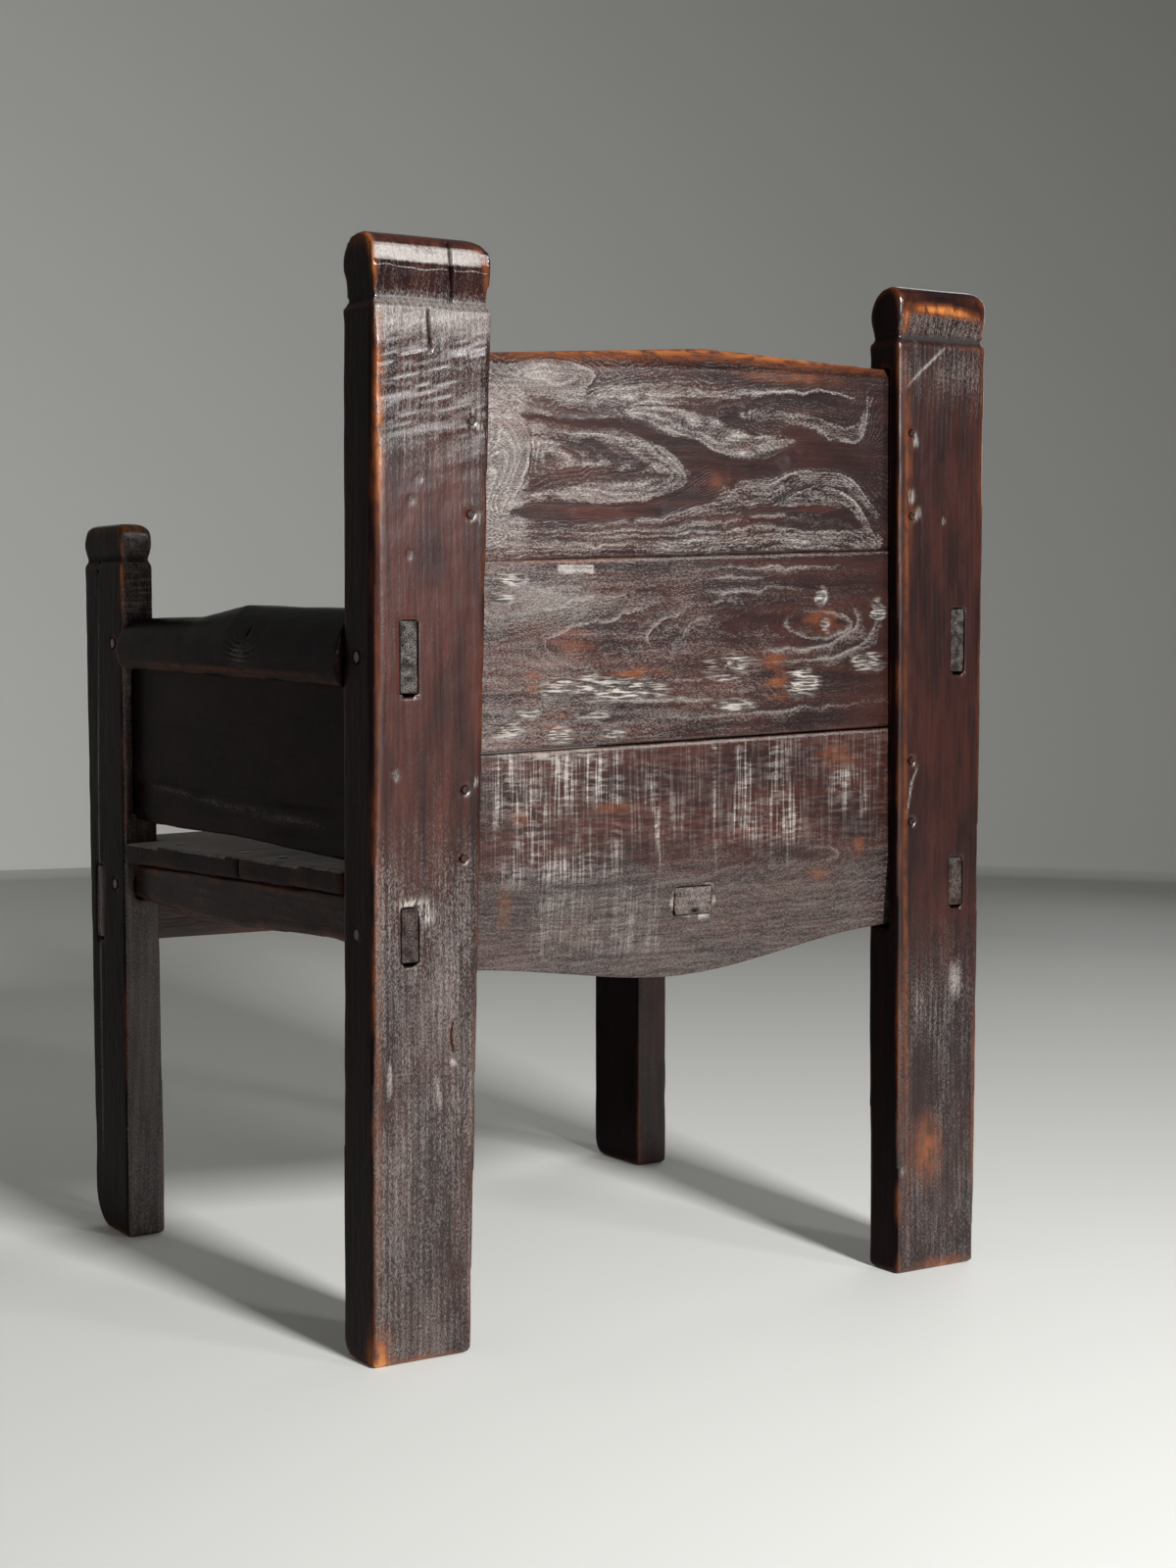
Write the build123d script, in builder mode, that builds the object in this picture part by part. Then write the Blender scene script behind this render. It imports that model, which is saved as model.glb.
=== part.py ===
from build123d import *
import os
from dataclasses import dataclass

# A wainscot chair of thick planks, held together by pegged mortise-and-tenon joints. Millimetres.
# +Z is up, -Y is the way the sitter faces, +X is the sitter's left. The origin is on the floor,
# under the middle of the frame. "Left" and "right" are the sitter's throughout.

os.makedirs("parts", exist_ok=True)

# ---- Overall frame ----
half_width = 338.0  # middle of the chair to the posts' outer faces
half_depth = 323.0  # middle of the chair to the rear posts' rear faces and the front posts' heads
right_rise = 0.022  # arms, rails and seat climb by this share towards the sitter's right
seat_rise = 0.0205  # the seat climbs by this share towards the back

# ---- Clearances ----
fit = 0.3  # round each tenon, tongue and peg, and at each shoulder
scribe = 1.5  # between the seat boards and the posts and back they are cut around
mortise_slack = 2.5  # extra height under a through tenon, as the old mortises have
end_inset = 0.8  # end grain of a through tenon, below the face it comes through

# ---- Posts: details common to all four ----
neck = 4.0  # depth of the step under a head, front and back
side_neck = 3.0  # depth of the step under a head, on its other two faces
neck_slope = 5.0  # height of the sloping shoulder under the neck
foot_ease = 3.0  # small worn bevel round each foot


@dataclass
class Post:
    """Sizes of one post: a plank on end, tapering along X, with a rounded head."""

    name: str
    side: int  # 1 at the sitter's left, -1 at the right
    height: float  # floor to the top of the head
    shoulder: float  # floor to the shoulder under the head
    depth: float  # size along Y
    width_top: float  # size along X at the shoulder
    width_foot: float  # size along X at the floor
    lean_top: float  # outer face at the shoulder, beyond half_width
    lean_foot: float  # outer face at the floor, beyond half_width
    crown: float  # top of the head to its widest line, more than any of the four radii below
    round_back: float  # head's radius over its rear edge
    round_front: float  # head's radius over its front edge
    round_inner: float  # head's radius over its inner edge
    round_outer: float  # head's radius over its outer edge
    foot_round: float  # worn radius of the foot's front edge
    toe: float  # front face at the floor, behind its place at the shoulder

    def outer(self, z):
        return half_width + self.lean_foot + (self.lean_top - self.lean_foot) * z / self.shoulder

    def inner(self, z):
        return self.outer(z) - self.width_foot - (self.width_top - self.width_foot) * z / self.shoulder

    def set_back(self, z):
        """The front face at one height, behind its place at the shoulder."""
        return self.toe * (1 - z / (self.shoulder - neck_slope))


rear_left = Post(
    name="rear_post_left",
    side=1,
    height=960,
    shoulder=903,
    depth=56,
    width_top=114,
    width_foot=96,
    lean_top=-1,
    lean_foot=4,
    crown=28,
    round_back=25,
    round_front=26,
    round_inner=18,
    round_outer=3,
    foot_round=18,
    toe=0,
)
rear_right = Post(
    name="rear_post_right",
    side=-1,
    height=955,
    shoulder=906,
    depth=45,
    width_top=110,
    width_foot=97.5,
    lean_top=-1,
    lean_foot=-6,
    crown=29,
    round_back=14,
    round_front=28,
    round_inner=3,
    round_outer=16,
    foot_round=8,
    toe=0,
)
front_left = Post(
    name="front_post_left",
    side=1,
    height=736,
    shoulder=699,
    depth=101,
    width_top=35,
    width_foot=42,
    lean_top=0,
    lean_foot=0,
    crown=22,
    round_back=12,
    round_front=21,
    round_inner=13,
    round_outer=8,
    foot_round=40,
    toe=13,
)
front_right = Post(
    name="front_post_right",
    side=-1,
    height=738,
    shoulder=701,
    depth=99,
    width_top=35,
    width_foot=41,
    lean_top=0,
    lean_foot=1.5,
    crown=22,
    round_back=12,
    round_front=20,
    round_inner=13,
    round_outer=8,
    foot_round=20,
    toe=6,
)

# ---- Arms: heights are those at the middle of the chair, before right_rise ----
arm_thick = 56.0  # along X
arm_proud = 8.0  # outer face beyond the posts
arm_under_front = 595.0
arm_under_rear = 585.0
arm_top_line = ((-221, 647), (-60, 647.5), (-14, 652), (43, 658), (114, 655.5), (278, 652.5))
arm_tenon_height = 62.0
arm_tenon_mid = 611.0
arm_stub_height = 32.0
arm_stub_mid = 621.0

# ---- Side rails and front rail ----
rail_thick = 36.0  # along X
rail_inset = 12.0  # outer face inside the posts' outer faces
rail_bottom_line = ((-221, 360.5), (-77, 355), (63, 356), (179, 362), (267, 360.5))
rail_tenon_height = 47.0
rail_haunch = 8.0  # top of the tenons below the top of the rail
front_rail_thick = 42.0
front_rail_inset = 13.0  # front face behind the front posts' heads
front_rail_bottom = 302.0
front_tenon_low = 307.0
front_tenon_high = 382.0

# ---- Tenons ----
tenon_thick = 17.0  # through tenons in the rear posts
tenon_line = 33.5  # middle of a through tenon, inside half_width
stub_thick = 14.0  # tenons in the front posts
stub_line = 20.0  # middle of a stub tenon, inside half_width
stub_long = 50.0

# ---- Side panels ----
panel_thick = 11.0
panel_inset = 12.0  # outer face inside the posts' outer faces
panel_bottom_front = 447.0
panel_bottom_rear = 431.5
panel_tongue = 10.0  # into the posts and up into the arm

# ---- Seat ----
seat_bed = 401.0  # underside of the seat boards over the origin
seat_thick = 22.0
seat_seam = 49.0  # where the two boards meet, along Y
seam_gap = 0.8
seat_rear_gap = 8.0  # the rear board's ends stop short of the rear posts
seat_nose = 5.0  # the front board's edge beyond the front rail's face

# ---- Seat bearer ----
bearer_mid = -3.0  # along X
bearer_wide = 60.0
bearer_bottom = 360.0
bearer_tenon_wide = 42.0
bearer_tenon_low = 366.0
bearer_tenon_high = 392.0
bearer_stub = 20.0  # into the front rail

# ---- Back boards ----
board_thick = 22.0
board_recess = 16.0  # rear surface of the boards, in from the rear faces of the posts
tongue = 26.0  # of each board into the posts
upper_seam = (695.6, -0.0398)  # height at the middle, and climb towards +X
lower_seam = (527.0, -0.0316)
upper_gap = 0.6
lower_gap = 2.4
crest_peak_x = -24.0
crest_peak = 885.4
crest_fall_left = 0.078  # fall of the crest's top for each unit along X, left of the peak
crest_fall_right = 0.040
crest_bevel_peak = 21.0  # height of the worn rear bevel at the peak
crest_bevel_left = 4.5  # and at each end
crest_bevel_right = 3.5
bevel_slope = 1.2  # height of the bevel for each unit of its depth
planed_top = 411.0  # below this the lower board's rear surface is planed away
planed_slope = 0.12  # depth planed away for each unit of height
belly_line = ((-262, 341), (-144, 330), (-30, 311), (14, 308.5), (112, 316.5), (262, 330))

# ---- Pegs and pins ----
peg_size = 9.0
pin_size = 6.0
peg_long = 58.0
pin_long = 38.0
pin_inset = 17.0  # from a post's inner face
peg_setback = 25.0  # from a shoulder to the peg that locks its tenon
front_peg_long = 42.0
front_peg_heights = (330.0, 362.0)
crest_pin_heights = (731.0, 810.0)
lower_pin_heights = (437.0, 496.0)
seat_peg_long = 50.0
seat_peg_front_end = 173.0  # from the front of the chair to the first row of seat pegs
seat_peg_rear_end = 98.0  # from the rear of the chair to the last row
seat_peg_before_seam = 44.0
seat_peg_behind_seam = 36.0
front_rail_peg_reach = 160.0  # pegs down into the front rail, either side of the middle

board_rear = half_depth - board_recess
board_front = board_rear - board_thick
front_rail_front = -half_depth + front_rail_inset
front_rail_rear = front_rail_front + front_rail_thick
front_rail_mid = (front_rail_front + front_rail_rear) / 2
peg_hole = peg_size + 2 * fit
pin_hole = pin_size + 2 * fit


def climb(x):
    """Height that the frame gains or loses at x, because it stands higher at the sitter's right."""
    return -right_rise * x


def along(start, end, share):
    return start + (end - start) * share


def seat_plane(lift=0.0):
    """The sloping plane that the seat boards lie on, or one above it."""
    return Plane(
        origin=(0, 0, seat_bed + lift),
        x_dir=(1, 0, -right_rise),
        z_dir=(right_rise, -seat_rise, 1),
    )


def bed_height(x, y):
    return seat_bed + seat_rise * y + climb(x)


def block(xs, ys, zs, mode=Mode.ADD):
    """A box between two values along each axis, in either order."""
    middle = (sum(xs) / 2, sum(ys) / 2, sum(zs) / 2)
    with Locations(middle):
        Box(abs(xs[1] - xs[0]), abs(ys[1] - ys[0]), abs(zs[1] - zs[0]), mode=mode)


def peg(start, direction, size, length, mode=Mode.ADD):
    """A round peg or its hole, from the middle of its head along a direction."""
    with BuildSketch(Plane(origin=start, z_dir=direction)) as head:
        Circle(size / 2)
    extrude(head.sketch, amount=length, mode=mode)


def outline(plane, points, rounded=()):
    """Straight-sided profile on a plane, with some of its corners rounded: pairs of corner and radius."""
    with BuildSketch(plane) as profile:
        Polygon(*points, align=None)
        for place, radius in rounded:
            fillet(profile.vertices().sort_by_distance(place)[0], radius)
    return profile.sketch


# ---- Joints: each tenon and its mortise take their place from here ----
@dataclass
class Side:
    """The joints and pieces at one side of the chair."""

    name: str
    sign: int
    rear: Post
    front: Post

    @property
    def front_shoulder(self):
        return -half_depth + self.front.depth

    @property
    def rear_shoulder(self):
        return half_depth - self.rear.depth

    def xs(self, near, far):
        """Two distances in from the outer faces, as x values at this side."""
        return (self.sign * (half_width - near), self.sign * (half_width - far))

    def tenon_xs(self, slack=0.0):
        reach = tenon_thick / 2 + slack
        return self.xs(tenon_line - reach, tenon_line + reach)

    def stub_xs(self, slack=0.0):
        reach = stub_thick / 2 + slack
        return self.xs(stub_line - reach, stub_line + reach)

    def lift(self, inset):
        """The frame's climb at a distance in from this side's outer face."""
        return climb(self.sign * (half_width - inset))

    def arm_under(self, y):
        share = (y + half_depth - self.front.depth) / (2 * half_depth - self.front.depth - self.rear.depth)
        return along(arm_under_front, arm_under_rear, share) + self.lift(tenon_line)

    def panel_bottom(self, y):
        share = (y - self.front_shoulder) / (self.rear_shoulder - self.front_shoulder)
        return along(panel_bottom_front, panel_bottom_rear, share) + self.lift(panel_inset)

    def arm_tenon_zs(self):
        middle = arm_tenon_mid + self.lift(tenon_line)
        return (middle - arm_tenon_height / 2, middle + arm_tenon_height / 2)

    def arm_stub_zs(self):
        middle = arm_stub_mid + self.lift(stub_line)
        return (middle - arm_stub_height / 2, middle + arm_stub_height / 2)

    def rail_tenon_zs(self):
        top = bed_height(self.sign * (half_width - tenon_line), self.rear_shoulder) - rail_haunch
        return (top - rail_tenon_height, top)

    def rail_stub_zs(self):
        """The front posts are thin, so these tenons are lower than the ones at the back."""
        top = bed_height(self.sign * (half_width - stub_line), -half_depth) - rail_haunch
        return (self.rail_tenon_zs()[0] + rail_haunch, top)


left = Side("left", 1, rear_left, front_left)
right = Side("right", -1, rear_right, front_right)
sides = (left, right)


def back_peg_spots(side):
    """Head of each peg through a side's tenons: the arm's and the rail's, at the back and the front."""
    rear_y = side.rear_shoulder + peg_setback
    front_y = side.front_shoulder - peg_setback
    spots = []
    for zs, y, post in (
        (side.arm_tenon_zs(), rear_y, side.rear),
        (side.arm_stub_zs(), front_y, side.front),
        (side.rail_tenon_zs(), rear_y, side.rear),
        (side.rail_stub_zs(), front_y, side.front),
    ):
        z = sum(zs) / 2
        length = min(peg_long, post.outer(z) - post.inner(z))
        spots.append(((side.sign * post.outer(z), y, z), (-side.sign, 0, 0), length))
    return spots


def front_peg_spots(side):
    """Pegs from the front faces of the front posts through the front rail's tenons."""
    spots = []
    for z in front_peg_heights:
        x = side.sign * (side.front.outer(z) + side.front.inner(z)) / 2
        spots.append(((x, -half_depth + side.front.set_back(z), z), (0, 1, 0), front_peg_long))
    return spots


def pin_spots(side, heights):
    """Pins from the rear faces of the rear posts through the tongues of a back board."""
    spots = []
    for height in heights:
        x = side.sign * (side.rear.inner(height) + pin_inset)
        spots.append(((x, half_depth, height + climb(x)), (0, -1, 0), pin_long))
    return spots


def seat_peg_spots():
    """Pegs down through the seat boards into the side rails and the front rail."""
    plane = seat_plane(seat_thick)
    spots = []
    rail_middle = half_width - rail_inset - rail_thick / 2
    rows = (
        -half_depth + seat_peg_front_end,
        seat_seam - seat_peg_before_seam,
        seat_seam + seat_peg_behind_seam,
        half_depth - seat_peg_rear_end,
    )
    places = [(sign * rail_middle, y) for sign in (-1, 1) for y in rows]
    places += [(sign * front_rail_peg_reach, front_rail_mid) for sign in (-1, 1)]
    for x, y in places:
        spots.append((tuple(plane.from_local_coords((x, y, 0))), tuple(-plane.z_dir), seat_peg_long))
    return spots


def pegs(spots, size, mode=Mode.ADD):
    for start, direction, length in spots:
        peg(start, direction, size, length, mode)


def line_height(line, x):
    """Height of a seam, given as its height at the middle and its climb."""
    return line[0] + line[1] * x


def board_end(side, z, inset=0.0):
    """Distance from the middle to the end of a back board, or of its groove, at one height."""
    return side.rear.inner(z) + tongue - inset


# ---- Posts ----
def post_front_view(post, back):
    """Seen along Y: tapering plank, neck and head, at either side of the chair."""
    s = post.side
    bulge = post.height - post.crown
    top_outer = post.outer(post.shoulder)
    top_inner = post.inner(post.shoulder)
    low = post.shoulder - neck_slope
    return outline(
        Plane.XZ.offset(-back),
        [
            (s * (post.outer(0) - foot_ease), 0),
            (s * post.outer(0), foot_ease),
            (s * post.outer(low), low),
            (s * (post.outer(low) - side_neck), post.shoulder),
            (s * top_outer, bulge),
            (s * top_outer, post.height),
            (s * top_inner, post.height),
            (s * top_inner, bulge),
            (s * (post.inner(low) + side_neck), post.shoulder),
            (s * post.inner(low), low),
            (s * post.inner(0), foot_ease),
            (s * (post.inner(0) + foot_ease), 0),
        ],
        (
            ((s * top_outer, post.height), post.round_outer),
            ((s * top_inner, post.height), post.round_inner),
        ),
    )


def post_side_view(post, front, back):
    """Seen along X: the plank's thickness, a neck under the head and a rounded crown."""
    bulge = post.height - post.crown
    low = post.shoulder - neck_slope
    return outline(
        Plane.YZ.offset(post.side * half_width),
        [
            (front + post.toe, 0),
            (back - foot_ease, 0),
            (back, foot_ease),
            (back, low),
            (back - neck, post.shoulder),
            (back, bulge),
            (back, post.height),
            (front, post.height),
            (front, bulge),
            (front + neck, post.shoulder),
            (front, low),
        ],
        (
            ((back, post.height), post.round_back),
            ((front, post.height), post.round_front),
            ((front + post.toe, 0), post.foot_round),
        ),
    )


def shape_post(post, front, back):
    """The plank with its head: the part of the front view that the side view keeps."""
    extrude(post_front_view(post, back), amount=back - front)
    extrude(post_side_view(post, front, back), amount=2 * post.width_top, both=True, mode=Mode.INTERSECT)


def cut_panel_groove(side, shoulder, direction):
    """The groove for the side panel's tongue, in the face of a post that looks along Y."""
    depth = panel_tongue + fit
    far = shoulder + direction * depth
    block(
        side.xs(panel_inset - fit, panel_inset + panel_thick + fit),
        (shoulder, far),
        (min(side.panel_bottom(shoulder), side.panel_bottom(far)) - fit, side.arm_under(shoulder)),
        Mode.SUBTRACT,
    )


def cut_board_groove(side):
    """The stopped groove that takes the ends of the three back boards."""
    low = belly_height(side.sign * side.rear.inner(0)) - fit
    high = crest_top(side.sign * side.rear.inner(side.rear.shoulder)) + fit
    middle = side.sign * side.rear.width_top / 4
    groove = outline(
        Plane.XZ.offset(-board_rear - fit),
        [
            (side.sign * side.rear.inner(low) - middle, low),
            (side.sign * board_end(side, low), low),
            (side.sign * board_end(side, high), high),
            (side.sign * side.rear.inner(high) - middle, high),
        ],
    )
    extrude(groove, amount=board_thick + 2 * fit, mode=Mode.SUBTRACT)


def belly_height(x):
    """Height of the lower board's bottom edge, on the straight lines between its points."""
    for (x0, z0), (x1, z1) in zip(belly_line, belly_line[1:]):
        if x <= x1:
            break
    return along(z0, z1, (x - x0) / (x1 - x0))


def crest_top(x):
    fall = crest_fall_left if x > crest_peak_x else crest_fall_right
    return crest_peak - abs(x - crest_peak_x) * fall


for side in sides:
    with BuildPart() as rear_post:
        shape_post(side.rear, side.rear_shoulder, half_depth)
        through = (side.rear_shoulder, half_depth)
        for low, high in (side.arm_tenon_zs(), side.rail_tenon_zs()):
            block(side.tenon_xs(fit), through, (low - mortise_slack, high + fit), Mode.SUBTRACT)
        cut_panel_groove(side, side.rear_shoulder, 1)
        cut_board_groove(side)
        pegs(back_peg_spots(side)[0::2], peg_hole, Mode.SUBTRACT)
        pegs(pin_spots(side, crest_pin_heights + lower_pin_heights), pin_hole, Mode.SUBTRACT)
    rear_post.part.label = side.rear.name
    export_step(rear_post.part, f"parts/{side.rear.name}.step")

    with BuildPart() as front_post:
        shape_post(side.front, -half_depth, side.front_shoulder)
        deep = (side.front_shoulder, side.front_shoulder - stub_long - fit)
        for low, high in (side.arm_stub_zs(), side.rail_stub_zs()):
            block(side.stub_xs(fit), deep, (low - fit, high + fit), Mode.SUBTRACT)
        block(
            (side.sign * half_width * 2, side.sign * (half_width - side.front.width_foot * 2)),
            (front_rail_mid - stub_thick / 2 - fit, front_rail_mid + stub_thick / 2 + fit),
            (front_tenon_low - mortise_slack, front_tenon_high + fit),
            Mode.SUBTRACT,
        )
        cut_panel_groove(side, side.front_shoulder, -1)
        pegs(back_peg_spots(side)[1::2], peg_hole, Mode.SUBTRACT)
        pegs(front_peg_spots(side), peg_hole, Mode.SUBTRACT)
    front_post.part.label = side.front.name
    export_step(front_post.part, f"parts/{side.front.name}.step")


# ---- Back boards ----
def trim_ends(middle_z):
    """Cuts both ends of a back board parallel to the posts' inner faces, clear of their grooves."""
    for side in sides:
        post = side.rear
        slope = (post.inner(post.shoulder) - post.inner(0)) / post.shoulder
        end = side.sign * board_end(side, middle_z, fit)
        cut = Plane(origin=(end, board_rear, middle_z), z_dir=(side.sign, 0, -slope))
        split(bisect_by=cut, keep=Keep.BOTTOM)


def cut_pin_holes(heights):
    for side in sides:
        pegs(pin_spots(side, heights), pin_hole, Mode.SUBTRACT)


board_reach = half_width - 2 * fit


def crest_section(x, bevel):
    """Upright section of the crest at x, its rear top arris bevelled away by a given height."""
    top = crest_top(x)
    bottom = line_height(upper_seam, x) + upper_gap / 2
    return outline(
        Plane.YZ.offset(x),
        [
            (board_front, bottom),
            (board_rear, bottom),
            (board_rear, top - bevel),
            (board_rear - bevel / bevel_slope, top),
            (board_front, top),
        ],
    )


with BuildPart() as crest_board:
    loft(
        [
            crest_section(-board_reach, crest_bevel_right),
            crest_section(crest_peak_x, crest_bevel_peak),
            crest_section(board_reach, crest_bevel_left),
        ],
        ruled=True,
    )
    trim_ends(sum(crest_pin_heights) / 2)
    cut_pin_holes(crest_pin_heights)
crest_board.part.label = "crest_board"
export_step(crest_board.part, "parts/crest_board.step")

with BuildPart() as middle_back_board:
    face = outline(
        Plane.XZ.offset(-board_rear),
        [
            (-board_reach, line_height(lower_seam, -board_reach) + lower_gap / 2),
            (board_reach, line_height(lower_seam, board_reach) + lower_gap / 2),
            (board_reach, line_height(upper_seam, board_reach) - upper_gap / 2),
            (-board_reach, line_height(upper_seam, -board_reach) - upper_gap / 2),
        ],
    )
    extrude(face, amount=board_thick)
    trim_ends((upper_seam[0] + lower_seam[0]) / 2)
middle_back_board.part.label = "middle_back_board"
export_step(middle_back_board.part, "parts/middle_back_board.step")

with BuildPart() as lower_back_board:
    with BuildSketch(Plane.XZ.offset(-board_rear)):
        with BuildLine():
            belly = Spline(*belly_line)
            top_right = (belly_line[0][0], line_height(lower_seam, belly_line[0][0]) - lower_gap / 2)
            top_left = (belly_line[-1][0], line_height(lower_seam, belly_line[-1][0]) - lower_gap / 2)
            Polyline(belly @ 1, top_left, top_right, belly @ 0)
        make_face()
    extrude(amount=board_thick)
    trim_ends(sum(lower_pin_heights) / 2)
    planed = Plane(origin=(0, board_rear, planed_top), z_dir=(0, 1, -planed_slope))
    split(bisect_by=planed, keep=Keep.BOTTOM)
    cut_pin_holes(lower_pin_heights)
    reach = bearer_tenon_wide / 2 + fit
    block(
        (bearer_mid - reach, bearer_mid + reach),
        (board_front, board_rear),
        (bearer_tenon_low - fit, bearer_tenon_high + fit),
        Mode.SUBTRACT,
    )
lower_back_board.part.label = "lower_back_board"
export_step(lower_back_board.part, "parts/lower_back_board.step")


# ---- Arms ----
def arm_top(side, y):
    """Height of an arm's top, on the straight lines between its points."""
    for (y0, z0), (y1, z1) in zip(arm_top_line, arm_top_line[1:]):
        if y <= y1:
            break
    return along(z0, z1, (y - y0) / (y1 - y0)) + side.lift(tenon_line)


def arm_section(side, y):
    """Half-log section: flat inside, below and on top, round outside."""
    outer = half_width + arm_proud
    low = side.arm_under(y)
    high = arm_top(side, y)
    with BuildSketch(Plane.XZ.offset(-y)) as section:
        with BuildLine():
            bottom = Line(
                (side.sign * (outer - arm_thick), low),
                (side.sign * (outer - 6), low),
            )
            round_face = ThreePointArc(
                bottom @ 1,
                (side.sign * outer, along(low, high, 0.38)),
                (side.sign * (outer - 24), high),
            )
            Polyline(round_face @ 1, (side.sign * (outer - arm_thick), high), bottom @ 0)
        make_face()
    return section.sketch


for side in sides:
    start = side.front_shoulder + fit
    end = side.rear_shoulder - fit
    with BuildPart() as arm:
        stations = (start, *(y for y, z in arm_top_line[1:-1]), end)
        loft([arm_section(side, y) for y in stations], ruled=True)
        groove = outline(
            Plane.YZ.offset(side.sign * (half_width - panel_inset + fit)),
            [
                (start, side.arm_under(start) - panel_tongue),
                (end, side.arm_under(end) - panel_tongue),
                (end, side.arm_under(end) + panel_tongue + fit),
                (start, side.arm_under(start) + panel_tongue + fit),
            ],
        )
        extrude(groove, amount=-side.sign * (panel_thick + 2 * fit), mode=Mode.SUBTRACT)
        block(side.tenon_xs(), (end, half_depth - end_inset), side.arm_tenon_zs())
        block(side.stub_xs(), (start, side.front_shoulder - stub_long), side.arm_stub_zs())
        pegs(back_peg_spots(side)[:2], peg_hole, Mode.SUBTRACT)
    arm.part.label = f"arm_{side.name}"
    export_step(arm.part, f"parts/arm_{side.name}.step")


# ---- Side panels ----
for side in sides:
    front = side.front_shoulder
    rear = side.rear_shoulder
    with BuildPart() as side_panel:
        face = outline(
            Plane.YZ.offset(side.sign * (half_width - panel_inset)),
            [
                (front - panel_tongue, side.panel_bottom(front - panel_tongue)),
                (rear + panel_tongue, side.panel_bottom(rear + panel_tongue)),
                (rear + panel_tongue, side.arm_under(rear) - 2 * fit),
                (rear - 2 * fit, side.arm_under(rear) - 2 * fit),
                (rear - 2 * fit, side.arm_under(rear) + panel_tongue),
                (front + 2 * fit, side.arm_under(front) + panel_tongue),
                (front + 2 * fit, side.arm_under(front) - 2 * fit),
                (front - panel_tongue, side.arm_under(front) - 2 * fit),
            ],
        )
        extrude(face, amount=-side.sign * panel_thick)
    side_panel.part.label = f"side_panel_{side.name}"
    export_step(side_panel.part, f"parts/side_panel_{side.name}.step")


# ---- Side rails ----
def trim_to_seat():
    """Planes off a rail's top to the slope of the seat, clear of the boards."""
    split(bisect_by=seat_plane(-fit), keep=Keep.BOTTOM)


for side in sides:
    start = side.front_shoulder + fit
    end = side.rear_shoulder - fit
    lift = side.lift(rail_inset)
    above = seat_bed + 4 * seat_thick
    with BuildPart() as side_rail:
        with BuildSketch(Plane.YZ.offset(side.sign * (half_width - rail_inset))):
            with BuildLine():
                middle_points = [(y, z + lift) for y, z in rail_bottom_line[1:-1]]
                first = (start, rail_bottom_line[0][1] + lift)
                last = (end, rail_bottom_line[-1][1] + lift)
                wave = Spline(first, *middle_points, last)
                Polyline(wave @ 1, (end, above), (start, above), wave @ 0)
            make_face()
        extrude(amount=-side.sign * rail_thick)
        trim_to_seat()
        block(side.tenon_xs(), (end, half_depth - end_inset), side.rail_tenon_zs())
        block(side.stub_xs(), (start, side.front_shoulder - stub_long), side.rail_stub_zs())
        pegs(back_peg_spots(side)[2:], peg_hole, Mode.SUBTRACT)
        pegs(seat_peg_spots(), peg_hole, Mode.SUBTRACT)
    side_rail.part.label = f"side_rail_{side.name}"
    export_step(side_rail.part, f"parts/side_rail_{side.name}.step")


# ---- Front rail ----
with BuildPart() as front_rail:
    face = outline(
        Plane.XZ.offset(-front_rail_rear),
        [
            (-right.front.inner(front_rail_bottom) + fit, front_rail_bottom),
            (left.front.inner(front_rail_bottom) - fit, front_rail_bottom),
            (left.front.inner(seat_bed) - fit, seat_bed),
            (left.front.inner(seat_bed) - fit, seat_bed + seat_thick),
            (-right.front.inner(seat_bed) + fit, seat_bed + seat_thick),
            (-right.front.inner(seat_bed) + fit, seat_bed),
        ],
    )
    extrude(face, amount=front_rail_thick)
    trim_to_seat()
    low_ends = [side.front.outer(front_tenon_low) - end_inset for side in sides]
    block(
        (-low_ends[1], low_ends[0]),
        (front_rail_mid - stub_thick / 2, front_rail_mid + stub_thick / 2),
        (front_tenon_low, front_tenon_high),
    )
    for side in sides:
        pegs(front_peg_spots(side), peg_hole, Mode.SUBTRACT)
    pegs(seat_peg_spots(), peg_hole, Mode.SUBTRACT)
    reach = bearer_tenon_wide / 2 + fit
    block(
        (bearer_mid - reach, bearer_mid + reach),
        (front_rail_rear, front_rail_rear - bearer_stub - fit),
        (bearer_tenon_low - fit, bearer_tenon_high + fit),
        Mode.SUBTRACT,
    )
front_rail.part.label = "front_rail"
export_step(front_rail.part, "parts/front_rail.step")

# ---- Seat bearer ----
bearer_end = board_rear - planed_slope * (planed_top - bearer_tenon_high) - end_inset
with BuildPart() as seat_bearer:
    block(
        (bearer_mid - bearer_wide / 2, bearer_mid + bearer_wide / 2),
        (front_rail_rear + fit, board_front - fit),
        (bearer_bottom, seat_bed + seat_thick),
    )
    trim_to_seat()
    block(
        (bearer_mid - bearer_tenon_wide / 2, bearer_mid + bearer_tenon_wide / 2),
        (front_rail_rear - bearer_stub, bearer_end),
        (bearer_tenon_low, bearer_tenon_high),
    )
seat_bearer.part.label = "seat_bearer"
export_step(seat_bearer.part, "parts/seat_bearer.step")


# ---- Seat boards ----
def seat_board(points):
    extrude(outline(seat_plane(), points), amount=seat_thick)
    pegs(seat_peg_spots(), peg_hole, Mode.SUBTRACT)


with BuildPart() as seat_board_front:
    notches = [side.front.inner(seat_bed) - scribe for side in sides]
    seat_board(
        [
            (half_width, left.front_shoulder + scribe),
            (half_width, seat_seam - seam_gap / 2),
            (-half_width, seat_seam - seam_gap / 2),
            (-half_width, right.front_shoulder + scribe),
            (-notches[1], right.front_shoulder + scribe),
            (-notches[1], front_rail_front - seat_nose),
            (notches[0], front_rail_front - seat_nose),
            (notches[0], left.front_shoulder + scribe),
        ]
    )
seat_board_front.part.label = "seat_board_front"
export_step(seat_board_front.part, "parts/seat_board_front.step")

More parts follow.
